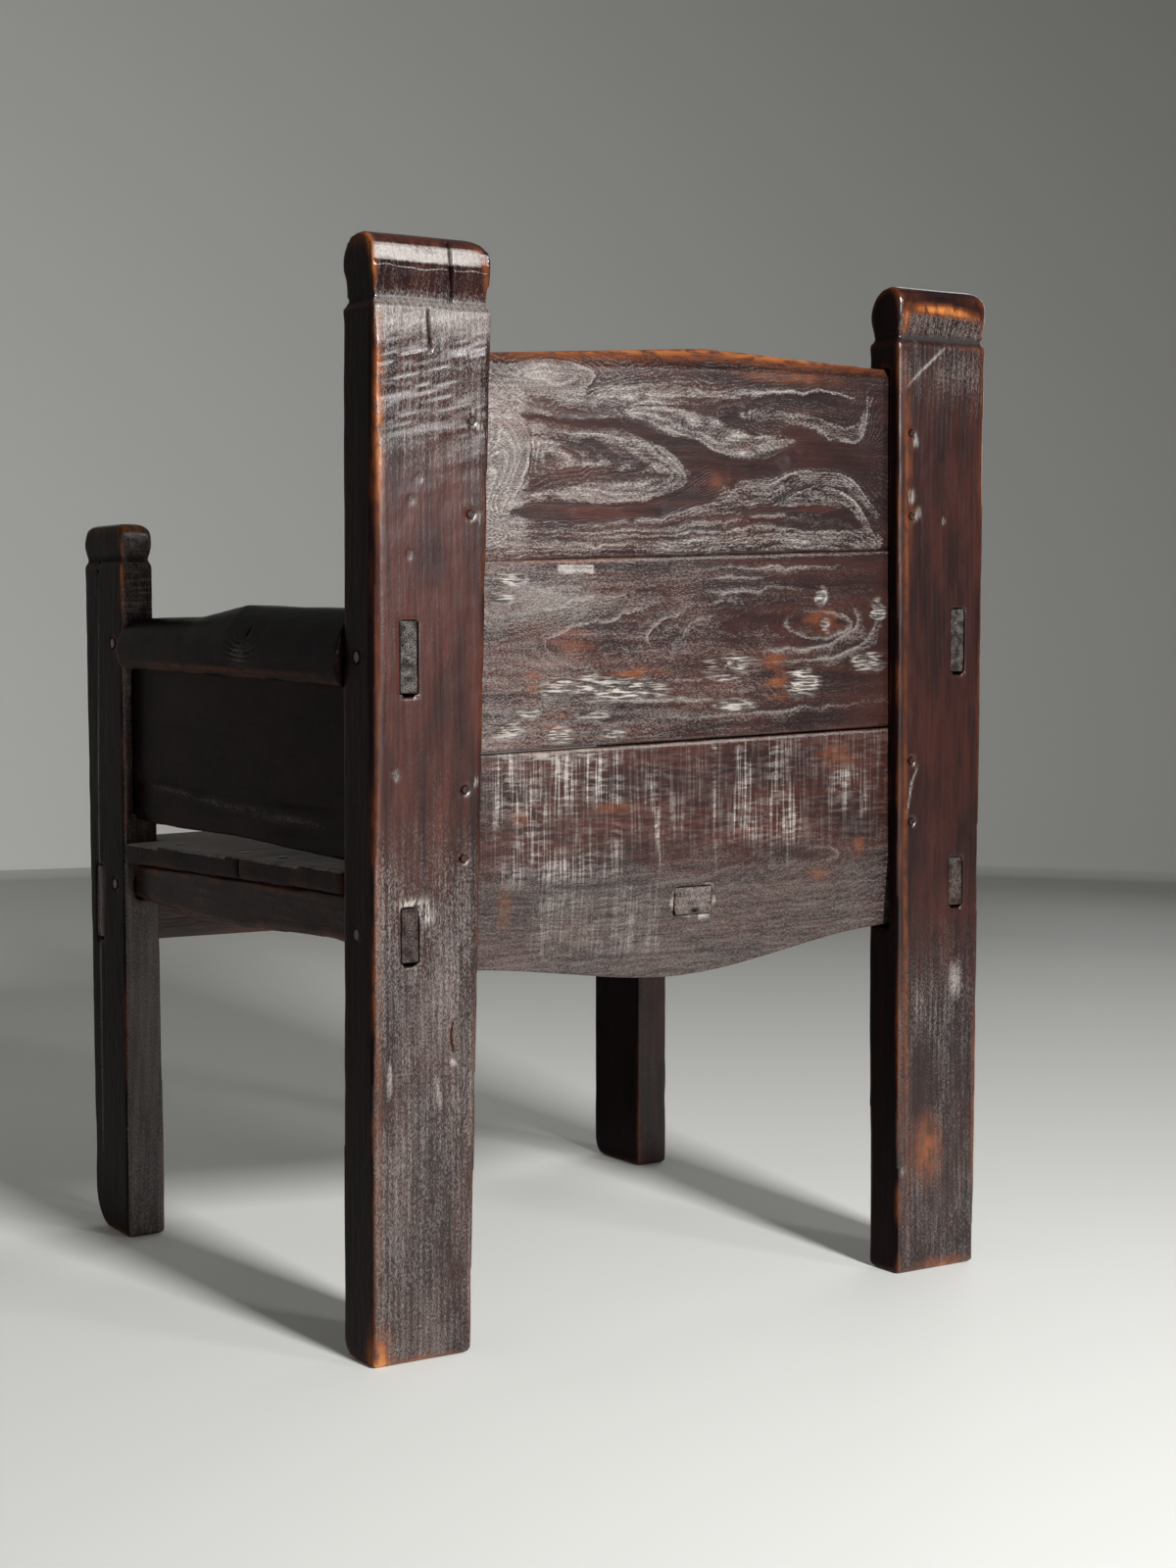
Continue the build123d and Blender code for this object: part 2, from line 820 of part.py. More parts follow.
with BuildPart() as seat_board_rear:
    notches = [side.rear.inner(seat_bed) - scribe for side in sides]
    seat_board(
        [
            (half_width, seat_seam + seam_gap / 2),
            (half_width, left.rear_shoulder - seat_rear_gap),
            (notches[0], left.rear_shoulder - seat_rear_gap),
            (notches[0], board_front - scribe),
            (-notches[1], board_front - scribe),
            (-notches[1], right.rear_shoulder - seat_rear_gap),
            (-half_width, right.rear_shoulder - seat_rear_gap),
            (-half_width, seat_seam + seam_gap / 2),
        ]
    )
seat_board_rear.part.label = "seat_board_rear"
export_step(seat_board_rear.part, "parts/seat_board_rear.step")

# ---- Pegs and pins ----
with BuildPart() as arm_pegs:
    for side in sides:
        pegs(back_peg_spots(side)[:2], peg_size)
arm_pegs.part.label = "arm_pegs"
export_step(arm_pegs.part, "parts/arm_pegs.step")

with BuildPart() as side_rail_pegs:
    for side in sides:
        pegs(back_peg_spots(side)[2:], peg_size)
side_rail_pegs.part.label = "side_rail_pegs"
export_step(side_rail_pegs.part, "parts/side_rail_pegs.step")

with BuildPart() as front_rail_pegs:
    for side in sides:
        pegs(front_peg_spots(side), peg_size)
front_rail_pegs.part.label = "front_rail_pegs"
export_step(front_rail_pegs.part, "parts/front_rail_pegs.step")

with BuildPart() as seat_pegs:
    pegs(seat_peg_spots(), peg_size)
seat_pegs.part.label = "seat_pegs"
export_step(seat_pegs.part, "parts/seat_pegs.step")

with BuildPart() as back_pins:
    for side in sides:
        pegs(pin_spots(side, crest_pin_heights + lower_pin_heights), pin_size)
back_pins.part.label = "back_pins"
export_step(back_pins.part, "parts/back_pins.step")
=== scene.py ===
import itertools
import math

import bmesh
import bpy
import numpy as np
from bpy.props import FloatProperty, PointerProperty, StringProperty
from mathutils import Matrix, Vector


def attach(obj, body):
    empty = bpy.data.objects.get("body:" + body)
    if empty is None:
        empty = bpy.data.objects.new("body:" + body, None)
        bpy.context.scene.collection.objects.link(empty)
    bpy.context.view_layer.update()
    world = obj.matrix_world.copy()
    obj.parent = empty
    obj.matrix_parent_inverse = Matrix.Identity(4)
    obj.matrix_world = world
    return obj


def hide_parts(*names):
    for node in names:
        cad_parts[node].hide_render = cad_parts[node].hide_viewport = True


bl_info = {
    "name": "Wainscot Chair",
    "version": (1, 0, 0),
    "blender": (4, 5, 0),
    "location": "3D View > Sidebar > Chair",
    "description": "Wears, marks and finishes the timbers of a plank-framed wainscot chair",
    "category": "Object",
}

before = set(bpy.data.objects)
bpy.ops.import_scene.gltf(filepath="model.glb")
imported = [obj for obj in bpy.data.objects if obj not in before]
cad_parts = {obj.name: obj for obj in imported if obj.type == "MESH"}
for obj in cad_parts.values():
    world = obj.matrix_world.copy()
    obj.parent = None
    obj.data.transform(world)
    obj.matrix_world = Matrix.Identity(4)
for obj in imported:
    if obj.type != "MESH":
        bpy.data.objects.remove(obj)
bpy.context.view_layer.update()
MM = 0.001

UP = Vector((0, 0, 1))
REAR = Vector((0, 1, 0))
LEFT = Vector((1, 0, 0))
X, Y, Z = range(3)

# Where the rear faces of the rear posts, the back's boards and the front posts lie, in mm, and the middle
# of the boards' thickness
POST_REAR = 323
BOARD_REAR = 307
FRONT_POST_REAR = -222
BOARD_MIDDLE = 296

# What is noted at each point of a timber: growth rings, counted across the grain, and from 0 to 1 rubbed
# arrises, cut ends, dirt, scraped lines, bloom with painted sheen, thin patina, which in places also
# paints light and shade, polish and torn fibres
MARKS = ("rings", "worn", "cut", "soot", "scored", "silver", "glow", "sleek", "chewed")


def length_property(name, description, size):
    """A length as a property, from its size in mm."""
    return FloatProperty(name=name, description=description, default=size * MM, unit="LENGTH")


def power_property(name, description, watts):
    """A lamp's power as a property."""
    return FloatProperty(name=name, description=description, default=watts, unit="POWER")


def colour_property(name, description, code):
    """A colour as a property, from its sRGB hex value."""
    return StringProperty(name=name, description=description, default=code)


class ChairTimber(bpy.types.PropertyGroup):
    """Sizes of the marks that tools and years have left in the timbers."""

    board_cell: length_property("Board mesh cell", "Side of one face of the mesh, on the back's boards", 1.6)
    post_cell: length_property("Post mesh cell", "The same, on the rear posts", 2.2)
    cell: length_property("Mesh cell", "The same, on the other timbers that show", 2.4)
    hidden_cell: length_property("Hidden mesh cell", "The same, on the rails and the seat", 3.2)
    hewn_depth: length_property("Hewn depth", "Depth of the hollows that an adze and a plane left", 0.6)
    hewn_length: length_property("Hewn length", "Length of those hollows along the grain", 85)
    hewn_width: length_property("Hewn width", "Width of those hollows across the grain", 32)
    arris_reach: length_property("Arris reach", "How far wear reaches in from an arris", 6)


class ChairFinish(bpy.types.PropertyGroup):
    """Colours of the old waxed wood."""

    patina: colour_property("Patina", "Nearly black wax and dirt over most of the wood", "#0D090B")
    # Heartwood also lays painted light: a lit patch on the front rail and a falloff across the back's boards
    heartwood: colour_property("Heartwood", "Red-brown wood where the patina is thin", "#54291F")
    # The bloom colour also lays painted sheen and painted highlights on the wood
    bloom_and_sheen: colour_property("Bloom", "Grey bloom on the ridges of the grain", "#9A928C")
    bruise: colour_property("Bruise", "Pale torn fibres where the wood has been bruised", "#B5ADA4")
    rubbed: colour_property("Rubbed arris", "Orange-brown wood on rubbed arrises", "#784224")
    bare: colour_property("Bare wood", "Yellow wood where an arris is worn right through", "#C07C42")
    end_grain: colour_property("End grain", "Dry grey end grain of the tenons", "#7E7973")
    soot: colour_property("Soot", "Dirt in cracks and corners", "#0B0706")


class ChairStage(bpy.types.PropertyGroup):
    """Floor, wall, lamps and camera."""

    floor: colour_property("Floor", "Painted floor", "#E6E6E2")
    far_floor: colour_property("Far floor", "The same floor's shaded side", "#ACACA9")
    wall: colour_property("Wall", "Plain wall", "#E0E0DC")
    far_wall: colour_property("Far wall", "The same wall's shaded side", "#8A8A88")
    key_power: power_property("Key lamp", "Power of the main lamp, behind the chair", 74.0)
    softbox_power: power_property("Softbox", "Power of the lamp that puts the sheen on the back", 8.0)
    fill_power: power_property("Fill lamp", "Power of the broad lamp in front of the chair", 12.0)
    world_level: FloatProperty(
        name="World level",
        description="Strength of the light from all round",
        default=0.11,
    )
    wall_distance: length_property("Wall distance", "From the middle of the chair to the wall", 4000)
    eye: length_property("Eye height", "Camera's height over the floor", 624.8)


# ---- Working a timber ----
def noise_at(points, pitch, seed):
    """Smooth noise from -1 to 1, with a new random value every pitch along each axis."""
    side = 32
    grid = np.random.default_rng(seed).uniform(-1, 1, (side, side, side))
    cell = points / np.asarray(pitch)
    low = np.floor(cell).astype(int)
    part = cell - low
    part = part * part * (3 - 2 * part)
    total = np.zeros(len(points))
    for step in itertools.product((0, 1), repeat=3):
        x, y, z = ((low + step) % side).T
        share = np.where(step, part, 1 - part).prod(axis=1)
        total += grid[x, y, z] * share
    return total


def path_reach(points, path):
    """Distance of each point from a line through a few places, and how far along the line it is, 0 to 1.
    On a flat face the distance is negative to the right of the line."""
    path = np.asarray(path, float)
    spans = path[1:] - path[:-1]
    lengths = np.linalg.norm(spans, axis=1)
    starts = np.concatenate(([0], np.cumsum(lengths)))
    best = np.full(len(points), np.inf)
    along = np.zeros(len(points))
    for start, span, length, before in zip(path, spans, lengths, starts):
        share = np.clip((points - start) @ span / length**2, 0, 1)
        away = points - start - share[:, None] * span
        distance = np.linalg.norm(away, axis=1)
        if len(start) == 2:
            distance = np.copysign(distance, span[0] * away[:, 1] - span[1] * away[:, 0])
        nearer = np.abs(distance) < np.abs(best)
        best = np.where(nearer, distance, best)
        along = np.where(nearer, (before + share * length) / starts[-1], along)
    return best, along


def read(rows, name, width, kind=float):
    """One property of a mesh's points, edges or faces as an array with a row for each."""
    values = np.empty(len(rows) * width, kind)
    rows.foreach_get(name, values)
    return values.reshape(-1, width)


def new_object(name, data):
    """A new object in the scene, at the origin."""
    item = bpy.data.objects.new(name, data)
    bpy.context.scene.collection.objects.link(item)
    return item


class Timber:
    """One timber being worked: an even, closed mesh made from its CAD node, held as arrays."""

    def __init__(self, node, cell, fine=(), rear=POST_REAR):
        """fine holds pairs of corners in m: boxes in which the mesh is twice as fine. rear is where places
        on the rear face lie, in mm."""
        self.node = node
        self.rear = rear
        form = bmesh.new()
        form.from_mesh(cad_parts[node].data)
        bmesh.ops.remove_doubles(form, verts=form.verts, dist=0.001 * MM)
        rough = bpy.data.meshes.new(node + "_blank")
        form.to_mesh(rough)
        blank = new_object(node + "_blank", rough)
        voxels = blank.modifiers.new("voxels", "REMESH")
        voxels.mode = "VOXEL"
        voxels.voxel_size = cell * 1
        shaped = blank.evaluated_get(bpy.context.evaluated_depsgraph_get())
        even = bpy.data.meshes.new_from_object(shaped)
        form.clear()
        form.from_mesh(even)
        for low, high in fine:
            inside = [
                edge
                for edge in form.edges
                if all(a <= c <= b for a, c, b in zip(low, edge.verts[0].co, high))
                and all(a <= c <= b for a, c, b in zip(low, edge.verts[1].co, high))
            ]
            bmesh.ops.subdivide_edges(form, edges=inside, cuts=1, use_grid_fill=True)
        self.mesh = bpy.data.meshes.new(node + "_timber")
        form.to_mesh(self.mesh)
        form.free()
        bpy.data.objects.remove(blank)
        for spare in (rough, even):
            bpy.data.meshes.remove(spare)
        self.co = read(self.mesh.vertices, "co", 3)
        self.edges = read(self.mesh.edges, "vertices", 2, int)
        self.first = self.co.copy()
        self.facing = self.normals()
        self.marks = {name: np.zeros(len(self.co)) for name in MARKS}

    def normals(self):
        """Which way the surface looks at each point, as it is worked now."""
        self.mesh.vertices.foreach_set("co", self.co.ravel())
        self.mesh.update()
        return read(self.mesh.vertex_normals, "vector", 3)

    def noise(self, pitch, seed):
        """Smooth noise from -1 to 1 over the timber, with its pitch in mm."""
        return noise_at(self.first, np.asarray(pitch) * MM, seed)

    def patches(self, pitch, seed, middle=0.5, swing=0.5, most=1.0):
        """Noise round a middle value, held between 0 and most."""
        return np.clip(middle + swing * self.noise(pitch, seed), 0, most)

    def faces(self, direction, least=0.6):
        """True at the points whose surface looks in a direction."""
        return self.facing @ np.asarray(direction) > least

    def relaxed(self, weight, rounds):
        """The points, each moved towards the middle of its neighbours by its weight, a number of times."""
        near, far = self.edges.T
        size = len(self.co)
        count = np.bincount(self.edges.ravel(), minlength=size)
        moved = self.co.copy()
        for _ in range(rounds):
            middle = np.empty_like(moved)
            for axis in range(3):
                total = np.bincount(near, moved[far, axis], size)
                total += np.bincount(far, moved[near, axis], size)
                middle[:, axis] = total / count
            moved += weight[:, None] * (middle - moved)
        return moved

    def press(self, depth):
        """Pushes the surface in by a depth at each point."""
        self.co -= self.normals() * np.broadcast_to(depth, len(self.co))[:, None]

    def paint(self, **amounts):
        """Lays marks over the timber wherever they are stronger than what is there."""
        for mark, amount in amounts.items():
            self.marks[mark] = np.maximum(self.marks[mark], amount)

    def move(self, direction, amount):
        """Moves each point by an amount in mm along one direction."""
        self.co += np.asarray(direction) * (MM * amount)[:, None]

    def placed(self, place):
        """A place in mm as a point; a place of two numbers, (x, z), is on the rear face."""
        x, *y, z = place
        return np.asarray((x, *(y or [self.rear]), z)) * MM

    def near(self, path, width, through=False):
        """1 along a path, falling to 0 at its width in mm. through draws it right through to the front."""
        axes = (X, Z) if through else (X, Y, Z)
        line = np.asarray([self.placed(place) for place in path])
        distance, along = path_reach(self.first[:, axes], line[:, axes])
        fade = np.sqrt(np.sin(np.pi * np.clip(along, 0.01, 0.99)))
        return np.clip(1 - np.abs(distance) / (width * MM), 0, 1) * fade

    def strokes(self, *strokes):
        """The strongest of several paths, each as how strong it is, its width in mm and its places."""
        return np.max([strength * self.near(path, width) for strength, width, path in strokes], axis=0)

    def spot(self, centre, reach):
        """1 at a place, falling softly to 0 at its reach in mm, which may differ along each axis."""
        away = (self.first - self.placed(centre)) / (np.asarray(reach) * MM)
        return np.exp(-2 * (away**2).sum(axis=1))

    def spots(self, places, depth):
        """The strongest of several spots on the rear face, each as (x, z, half width, half height)."""
        return np.max([self.spot((x, z), (wide, depth, high)) for x, z, wide, high in places], axis=0)

    def between(self, axis, low, high, blur):
        """1 between two places along an axis, with ends that fade over a blur, all in mm."""
        place = self.first[:, axis] / MM
        return np.clip((place - low) / blur + 0.5, 0, 1) * np.clip((high - place) / blur + 0.5, 0, 1)

    def soften(self, seed, rounds=5, keep=0.0):
        """Rounds the arrises off unevenly, as handling does; keep is 1 where they stay sharp."""
        least = 0.1
        most = 0.8
        weight = least + (most - least) * self.patches(26, seed) ** 2
        self.co = self.relaxed(weight * (1 - keep), rounds)

    def hew(self, grain, seed, share=1.0):
        """Shallow hollows along the grain, no higher than the sawn surface. share may differ by point."""
        sizes = bpy.context.scene.chair_timber
        pitch = np.full(3, sizes.hewn_width)
        pitch[np.argmax(np.abs(grain))] = sizes.hewn_length
        hollows = noise_at(self.first, pitch, seed) + 0.35 * noise_at(self.first, pitch / 3.1, seed + 1)
        self.press(sizes.hewn_depth * share * (0.5 - 0.5 * hollows))

    def pare(self, low, high, plane, level, slope, extra=0.0):
        """Pares the rear face between two heights down to a plane that leans back by a slope and lies at
        plane where it passes a level, all in mm. extra leaves wood on it, by point."""
        height = self.co[:, Z]
        pared = self.faces(REAR, 0.7) & (height > low * MM) & (height < high * MM)
        face = plane * MM + slope * (level * MM - height) + extra
        self.co[:, Y] = np.where(pared, np.minimum(self.co[:, Y], face), self.co[:, Y])

    def chatter(self, area, pitch, depth, seed, slope=0.0):
        """Small ridges that a dull blade leaves, over part of a face; they may climb along x."""
        tilted = self.first + slope * self.first[:, :1] * np.asarray(UP)
        ridges = noise_at(tilted, np.asarray(pitch) * MM, seed)
        self.press(depth * MM * area * (0.5 - 0.5 * ridges))

    def square(self, node, hole=False):
        """Squares up the rear rim of a node's tenon, or of the hole round it, which an even mesh chamfers."""
        low, high = tenon_end(node)
        clearance = 0.3 * MM
        collar = 20 * MM
        middle = (low + high) / 2
        half = (high - low) / 2
        gaps = half - np.abs(self.co - middle)
        rear = high[Y] - self.co[:, Y]
        if hole:
            gaps = -gaps - clearance
            beside = (np.abs(self.co - middle)[:, (X, Z)] < half[[X, Z]] + collar).all(axis=1)
            beside &= self.facing[:, Y] > 0.97
            spread = np.column_stack((np.ones(len(self.co)), self.co[:, (X, Z)]))
            plane = np.linalg.lstsq(spread[beside], self.co[beside, Y], rcond=None)[0]
            rear = spread @ plane - self.co[:, Y]
        across = gaps[:, (X, Z)]
        rim = across.max(axis=1) if hole else across.min(axis=1)
        slack = 0.6 * MM
        reach = 2.4 * MM
        near = (rim > -slack) & (rim < reach) & (rear > -slack) & (rear < reach)
        move = np.clip(np.minimum(rim, rear), 0, None) * near
        self.co[:, Y] += move
        for axis in (X, Z):
            moved = gaps[:, axis] == rim if hole else gaps[:, axis] < reach
            outward = np.sign(self.co[:, axis] - middle[axis]) * (-1 if hole else 1)
            self.co[:, axis] += outward * move * moved

    def crack(self, facing, path, width, depth):
        """A split that follows a path over a face, closing towards its ends."""
        inside = np.clip(1.5 * self.near(path, width), 0, 1) * self.faces(facing, 0.3)
        self.move(facing, -depth * inside)
        self.paint(soot=inside)

    def dent(self, facing, centre, reach, depth, pale):
        """A hollow with bruised wood in it; pale is how pale."""
        inside = self.spot(centre, reach) * self.faces(facing, 0.3)
        self.move(facing, -depth * inside)
        self.paint(silver=pale * inside)

    def note_wear(self, seed, share, spare=0.0):
        """Marks rubbed arrises and dirty corners from how the finished surface bends."""
        sizes = bpy.context.scene.chair_timber
        rounds = max(3, int((sizes.arris_reach / sizes.cell) ** 2))
        lift = ((self.co - self.relaxed(np.ones(len(self.co)), rounds)) * self.normals()).sum(axis=1)
        patchy = self.patches(34, seed, 0.5, 1.0)
        bend = lift / (0.8 * MM)
        bends = np.clip(bend, 0, 1) * (1 - spare)
        nicked = self.patches(13, seed + 40, 0.75, 0.5)
        painted = self.marks["worn"] * nicked * (0.7 + 0.3 * bends)
        self.marks["worn"] = np.maximum(bends * patchy * share, painted)
        self.paint(soot=np.clip(-bend, 0, 1) * 0.8 * (1 - spare))

    def finish(self, material, slot, shaded_side_material=None):
        """Leaves the worked timber in the scene in its CAD node's place."""
        self.co[:, Z] = np.maximum(self.co[:, Z], 0)
        self.mesh.vertices.foreach_set("co", self.co.ravel())
        for name, values in self.marks.items():
            layer = self.mesh.attributes.new(name, "FLOAT", "POINT")
            layer.data.foreach_set("value", values.astype(np.float32))
        self.mesh.polygons.foreach_set("use_smooth", np.ones(len(self.mesh.polygons), bool))
        self.mesh.materials.append(material)
        self.mesh.update()
        # Painted shade: faces that look along x take a copy of the wood with weaker reflections, so the sides
        # render darker
        if shaded_side_material:
            self.mesh.materials.append(shaded_side_material)
            sideways = np.abs(read(self.mesh.polygons, "normal", 3)[:, X]) > 0.75
            self.mesh.polygons.foreach_set("material_index", sideways.astype(int))
        piece = new_object(self.node + "_timber", self.mesh)
        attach(piece, "root")
        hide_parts(self.node)


def tenon_end(node):
    """The corners of a tenon's last few millimetres, at the rear."""
    points = np.array([corner.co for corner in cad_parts[node].data.vertices])
    tip = points[points[:, Y] > points[:, Y].max() - 4 * MM]
    return tip.min(axis=0), tip.max(axis=0)


# ---- Materials ----
def linear(code):
    """An sRGB hex value as linear colour with alpha."""
    parts = [int(code[i : i + 2], 16) / 255 for i in (1, 3, 5)]
    return (*(c / 12.92 if c <= 0.04045 else ((c + 0.055) / 1.055) ** 2.4 for c in parts), 1.0)


def add(tree, kind, inputs=None, **settings):
    """A new node: inputs are values or the sockets that they are linked to, by name or number."""
    node = tree.nodes.new("ShaderNode" + kind)
    for key, value in settings.items():
        setattr(node, key, value)
    for key, value in (inputs or {}).items():
        if isinstance(value, bpy.types.NodeSocket):
            tree.links.new(value, node.inputs[key])
        else:
            node.inputs[key].default_value = value
    return node


def new_material(name):
    """An empty material and its node tree."""
    material = bpy.data.materials.new(name)
    material.use_nodes = True
    material.node_tree.nodes.clear()
    return material, material.node_tree


# Patterns in the wood: pitch across the grain, across the face and along the grain in mm, detail, and
# the two noise values that become 0 and 1
PATTERNS = {
    "fibre": (1.5, 40, 2, 0.32, 0.68),
    "streak": (8, 80, 4, 0.34, 0.66),
    "patch": (40, 130, 3, 0.42, 0.58),
    "mottle": (8, 18, 3, 0.38, 0.60),
    "speck": (0.9, 2.2, 3, 0.38, 0.62),
    "rub": (7, 14, 3, 0.38, 0.56),
    "scratch": (60, 2.2, 1, 0.49, 0.60),
    "hatch": (3.4, 14, 1, 0.45, 0.60),
    "pit": (3.0, 3.6, 1, 0.70, 0.78),
    "fleck": (2.0, 16, 3, 0.47, 0.60),
}


def waxed_wood(
    name,
    grain,
    seed,
    least_glow=0.0,
    least_silver=0.0,
    polish=0.5,
    dull=0.0,
    figure=0.04,
    veil=0.08,
    coarse=0.85,
    lined=0.1,
):
    """Old waxed wood: nearly black patina that thins to red-brown in streaks along the grain, a granular
    grey bloom on the growth rings and hewn faces, which also serves as painted sheen, orange arrises, and
    dirt in corners and cracks.
    polish is the strength of reflections and dull adds to the roughness. Of the bloom, figure is how far
    it follows the rings, veil the least that shows, coarse how broken up it is, and lined how far it is
    dimmed between the rings."""
    look = bpy.context.scene.chair_finish
    material, tree = new_material(name)
    place = add(tree, "TexCoord").outputs["Object"]
    masks = {}
    along = [abs(part) > 0.5 for part in grain]
    for step, (key, (across, length, detail, low, high)) in enumerate(PATTERNS.items()):
        scale = [1 / ((length if runs else across) * MM) for runs in along]
        spot = add(
            tree,
            "Mapping",
            {"Vector": place, "Scale": scale, "Location": (seed + step, seed * 1.7, step * 2.3)},
        ).outputs[0]
        grey = add(tree, "TexNoise", {"Vector": spot, "Scale": 1.0, "Detail": detail}).outputs[0]
        masks[key] = add(tree, "MapRange", {0: grey, 1: low, 2: high}).outputs[0]
    marks = {key: add(tree, "Attribute", attribute_name=key).outputs["Fac"] for key in MARKS}

    def maths(operation, *parts, held=True):
        value = parts[0]
        for part in parts[1:]:
            value = add(tree, "Math", {0: value, 1: part}, operation=operation, use_clamp=held).outputs[0]
        return value

    def times(*parts):
        return maths("MULTIPLY", *parts)

    def ramp(value, low, high, start=0.0, end=1.0):
        return add(tree, "MapRange", {0: value, 1: low, 2: high, 3: start, 4: end}).outputs[0]

    # growth rings: a soft rise and a quick fall once in each ring, wavering with the fibres
    waver = times(masks["fibre"], 0.22)
    turn = maths("FRACT", maths("ADD", marks["rings"], waver, held=False), 0.0, held=False)
    ridge = maths("MINIMUM", ramp(turn, 0.25, 0.8), ramp(turn, 1.0, 0.86))

    # the patina thins out in patches and streaks, and where the glow mark lays it on, which in places
    # paints light and shade
    shown = maths("MAXIMUM", marks["glow"], least_glow)
    uneven = maths("ADD", times(masks["patch"], 0.5), times(masks["streak"], 0.5))
    thin = times(shown, ramp(uneven, 0.1, 0.9, 0.3, 1.0), ramp(masks["fibre"], 0, 1, 1.0, 0.6))
    # the bloom is a thin veil, broken up by specks and mottling, and it gathers on the rings; in part it is
    # painted sheen, grey where light would glance off the wood
    silver = maths("MAXIMUM", marks["silver"], least_silver)
    bloom_and_sheen = silver
    for mask, swing in (
        (masks["mottle"], 0.03 * coarse),
        (masks["streak"], 0.07 * coarse),
        (masks["fibre"], 0.08 * coarse),
        (masks["speck"], 0.16 * coarse),
        (ridge, figure),
    ):
        bloom_and_sheen = maths("ADD", bloom_and_sheen, ramp(mask, 0, 1, -swing, swing), held=False)
    bloom_and_sheen = times(
        ramp(bloom_and_sheen, veil, veil + 0.75),
        ramp(silver, 0.0, 0.15),
        ramp(ridge, 0, 1, 1 - lined, 1),
        ramp(masks["speck"], 0, 1, 1 - 0.4 * coarse, 1),
    )
    lines = times(masks["scratch"], ramp(masks["hatch"], 0, 1, 0.4, 1.0))
    lines = maths("MAXIMUM", lines, times(masks["hatch"], 0.3))
    scored = times(marks["scored"], lines, ramp(masks["speck"], 0, 1, 0.6, 1.15))
    flecks = times(ramp(marks["chewed"], 0, 0.8), masks["fleck"], 0.8)
    rubbed = times(ramp(marks["worn"], 0.05, 0.6), ramp(masks["rub"], 0, 1, 0.4, 1.0))
    bare = times(ramp(marks["worn"], 0.45, 1.0), masks["rub"])
    ends = times(marks["cut"], ramp(masks["mottle"], 0, 1, 0.25, 1.0), masks["speck"])
    layers = (
        (thin, look.heartwood),
        (times(ridge, 0.1), look.soot),
        (times(masks["fibre"], 0.15), look.soot),
        (bloom_and_sheen, look.bloom_and_sheen),
        (scored, look.bloom_and_sheen),
        (times(marks["chewed"], 0.25), look.soot),
        (flecks, look.bruise),
        (rubbed, look.rubbed),
        (bare, look.bare),
        (ends, look.end_grain),
        (times(masks["pit"], 0.5), look.soot),
        (marks["soot"], look.soot),
    )
    colour = linear(look.patina)
    for mask, over in layers:
        colour = add(tree, "Mix", {0: mask, 6: colour, 7: linear(over)}, data_type="RGBA").outputs[2]

    # handled places are polished, bloomed ones dull
    rough = ramp(maths("MAXIMUM", bloom_and_sheen, scored), 0, 1, 0.31 + dull, 0.5 + dull)
    rough = maths("ADD", rough, ramp(marks["sleek"], 0, 1, 0, -0.13))
    rough = add(tree, "MapRange", {0: maths("MAXIMUM", marks["cut"], marks["soot"]), 3: rough, 4: 0.85})
    # heights in mm
    height = times(masks["fibre"], 0.03)
    for mask, rise in (
        (times(masks["speck"], ramp(bloom_and_sheen, 0, 0.6)), 0.10),
        (masks["mottle"], 0.09),
        (times(masks["speck"], marks["cut"]), 0.4),
        (ridge, 0.05),
        (scored, 0.10),
        (flecks, 0.25),
        (masks["streak"], 0.10),
    ):
        height = maths("ADD", height, times(mask, rise), held=False)
    height = maths("MULTIPLY", height, ramp(marks["sleek"], 0, 1, 1.0, 0.45), held=False)
    bump = add(tree, "Bump", {"Height": height, "Strength": 1.0, "Distance": MM})
    shader = add(
        tree,
        "BsdfPrincipled",
        {
            "Base Color": colour,
            "Roughness": rough.outputs[0],
            "IOR": 1.48,
            "Specular IOR Level": polish,
            "Normal": bump.outputs[0],
        },
    )
    add(tree, "OutputMaterial", {"Surface": shader.outputs[0]})
    return material
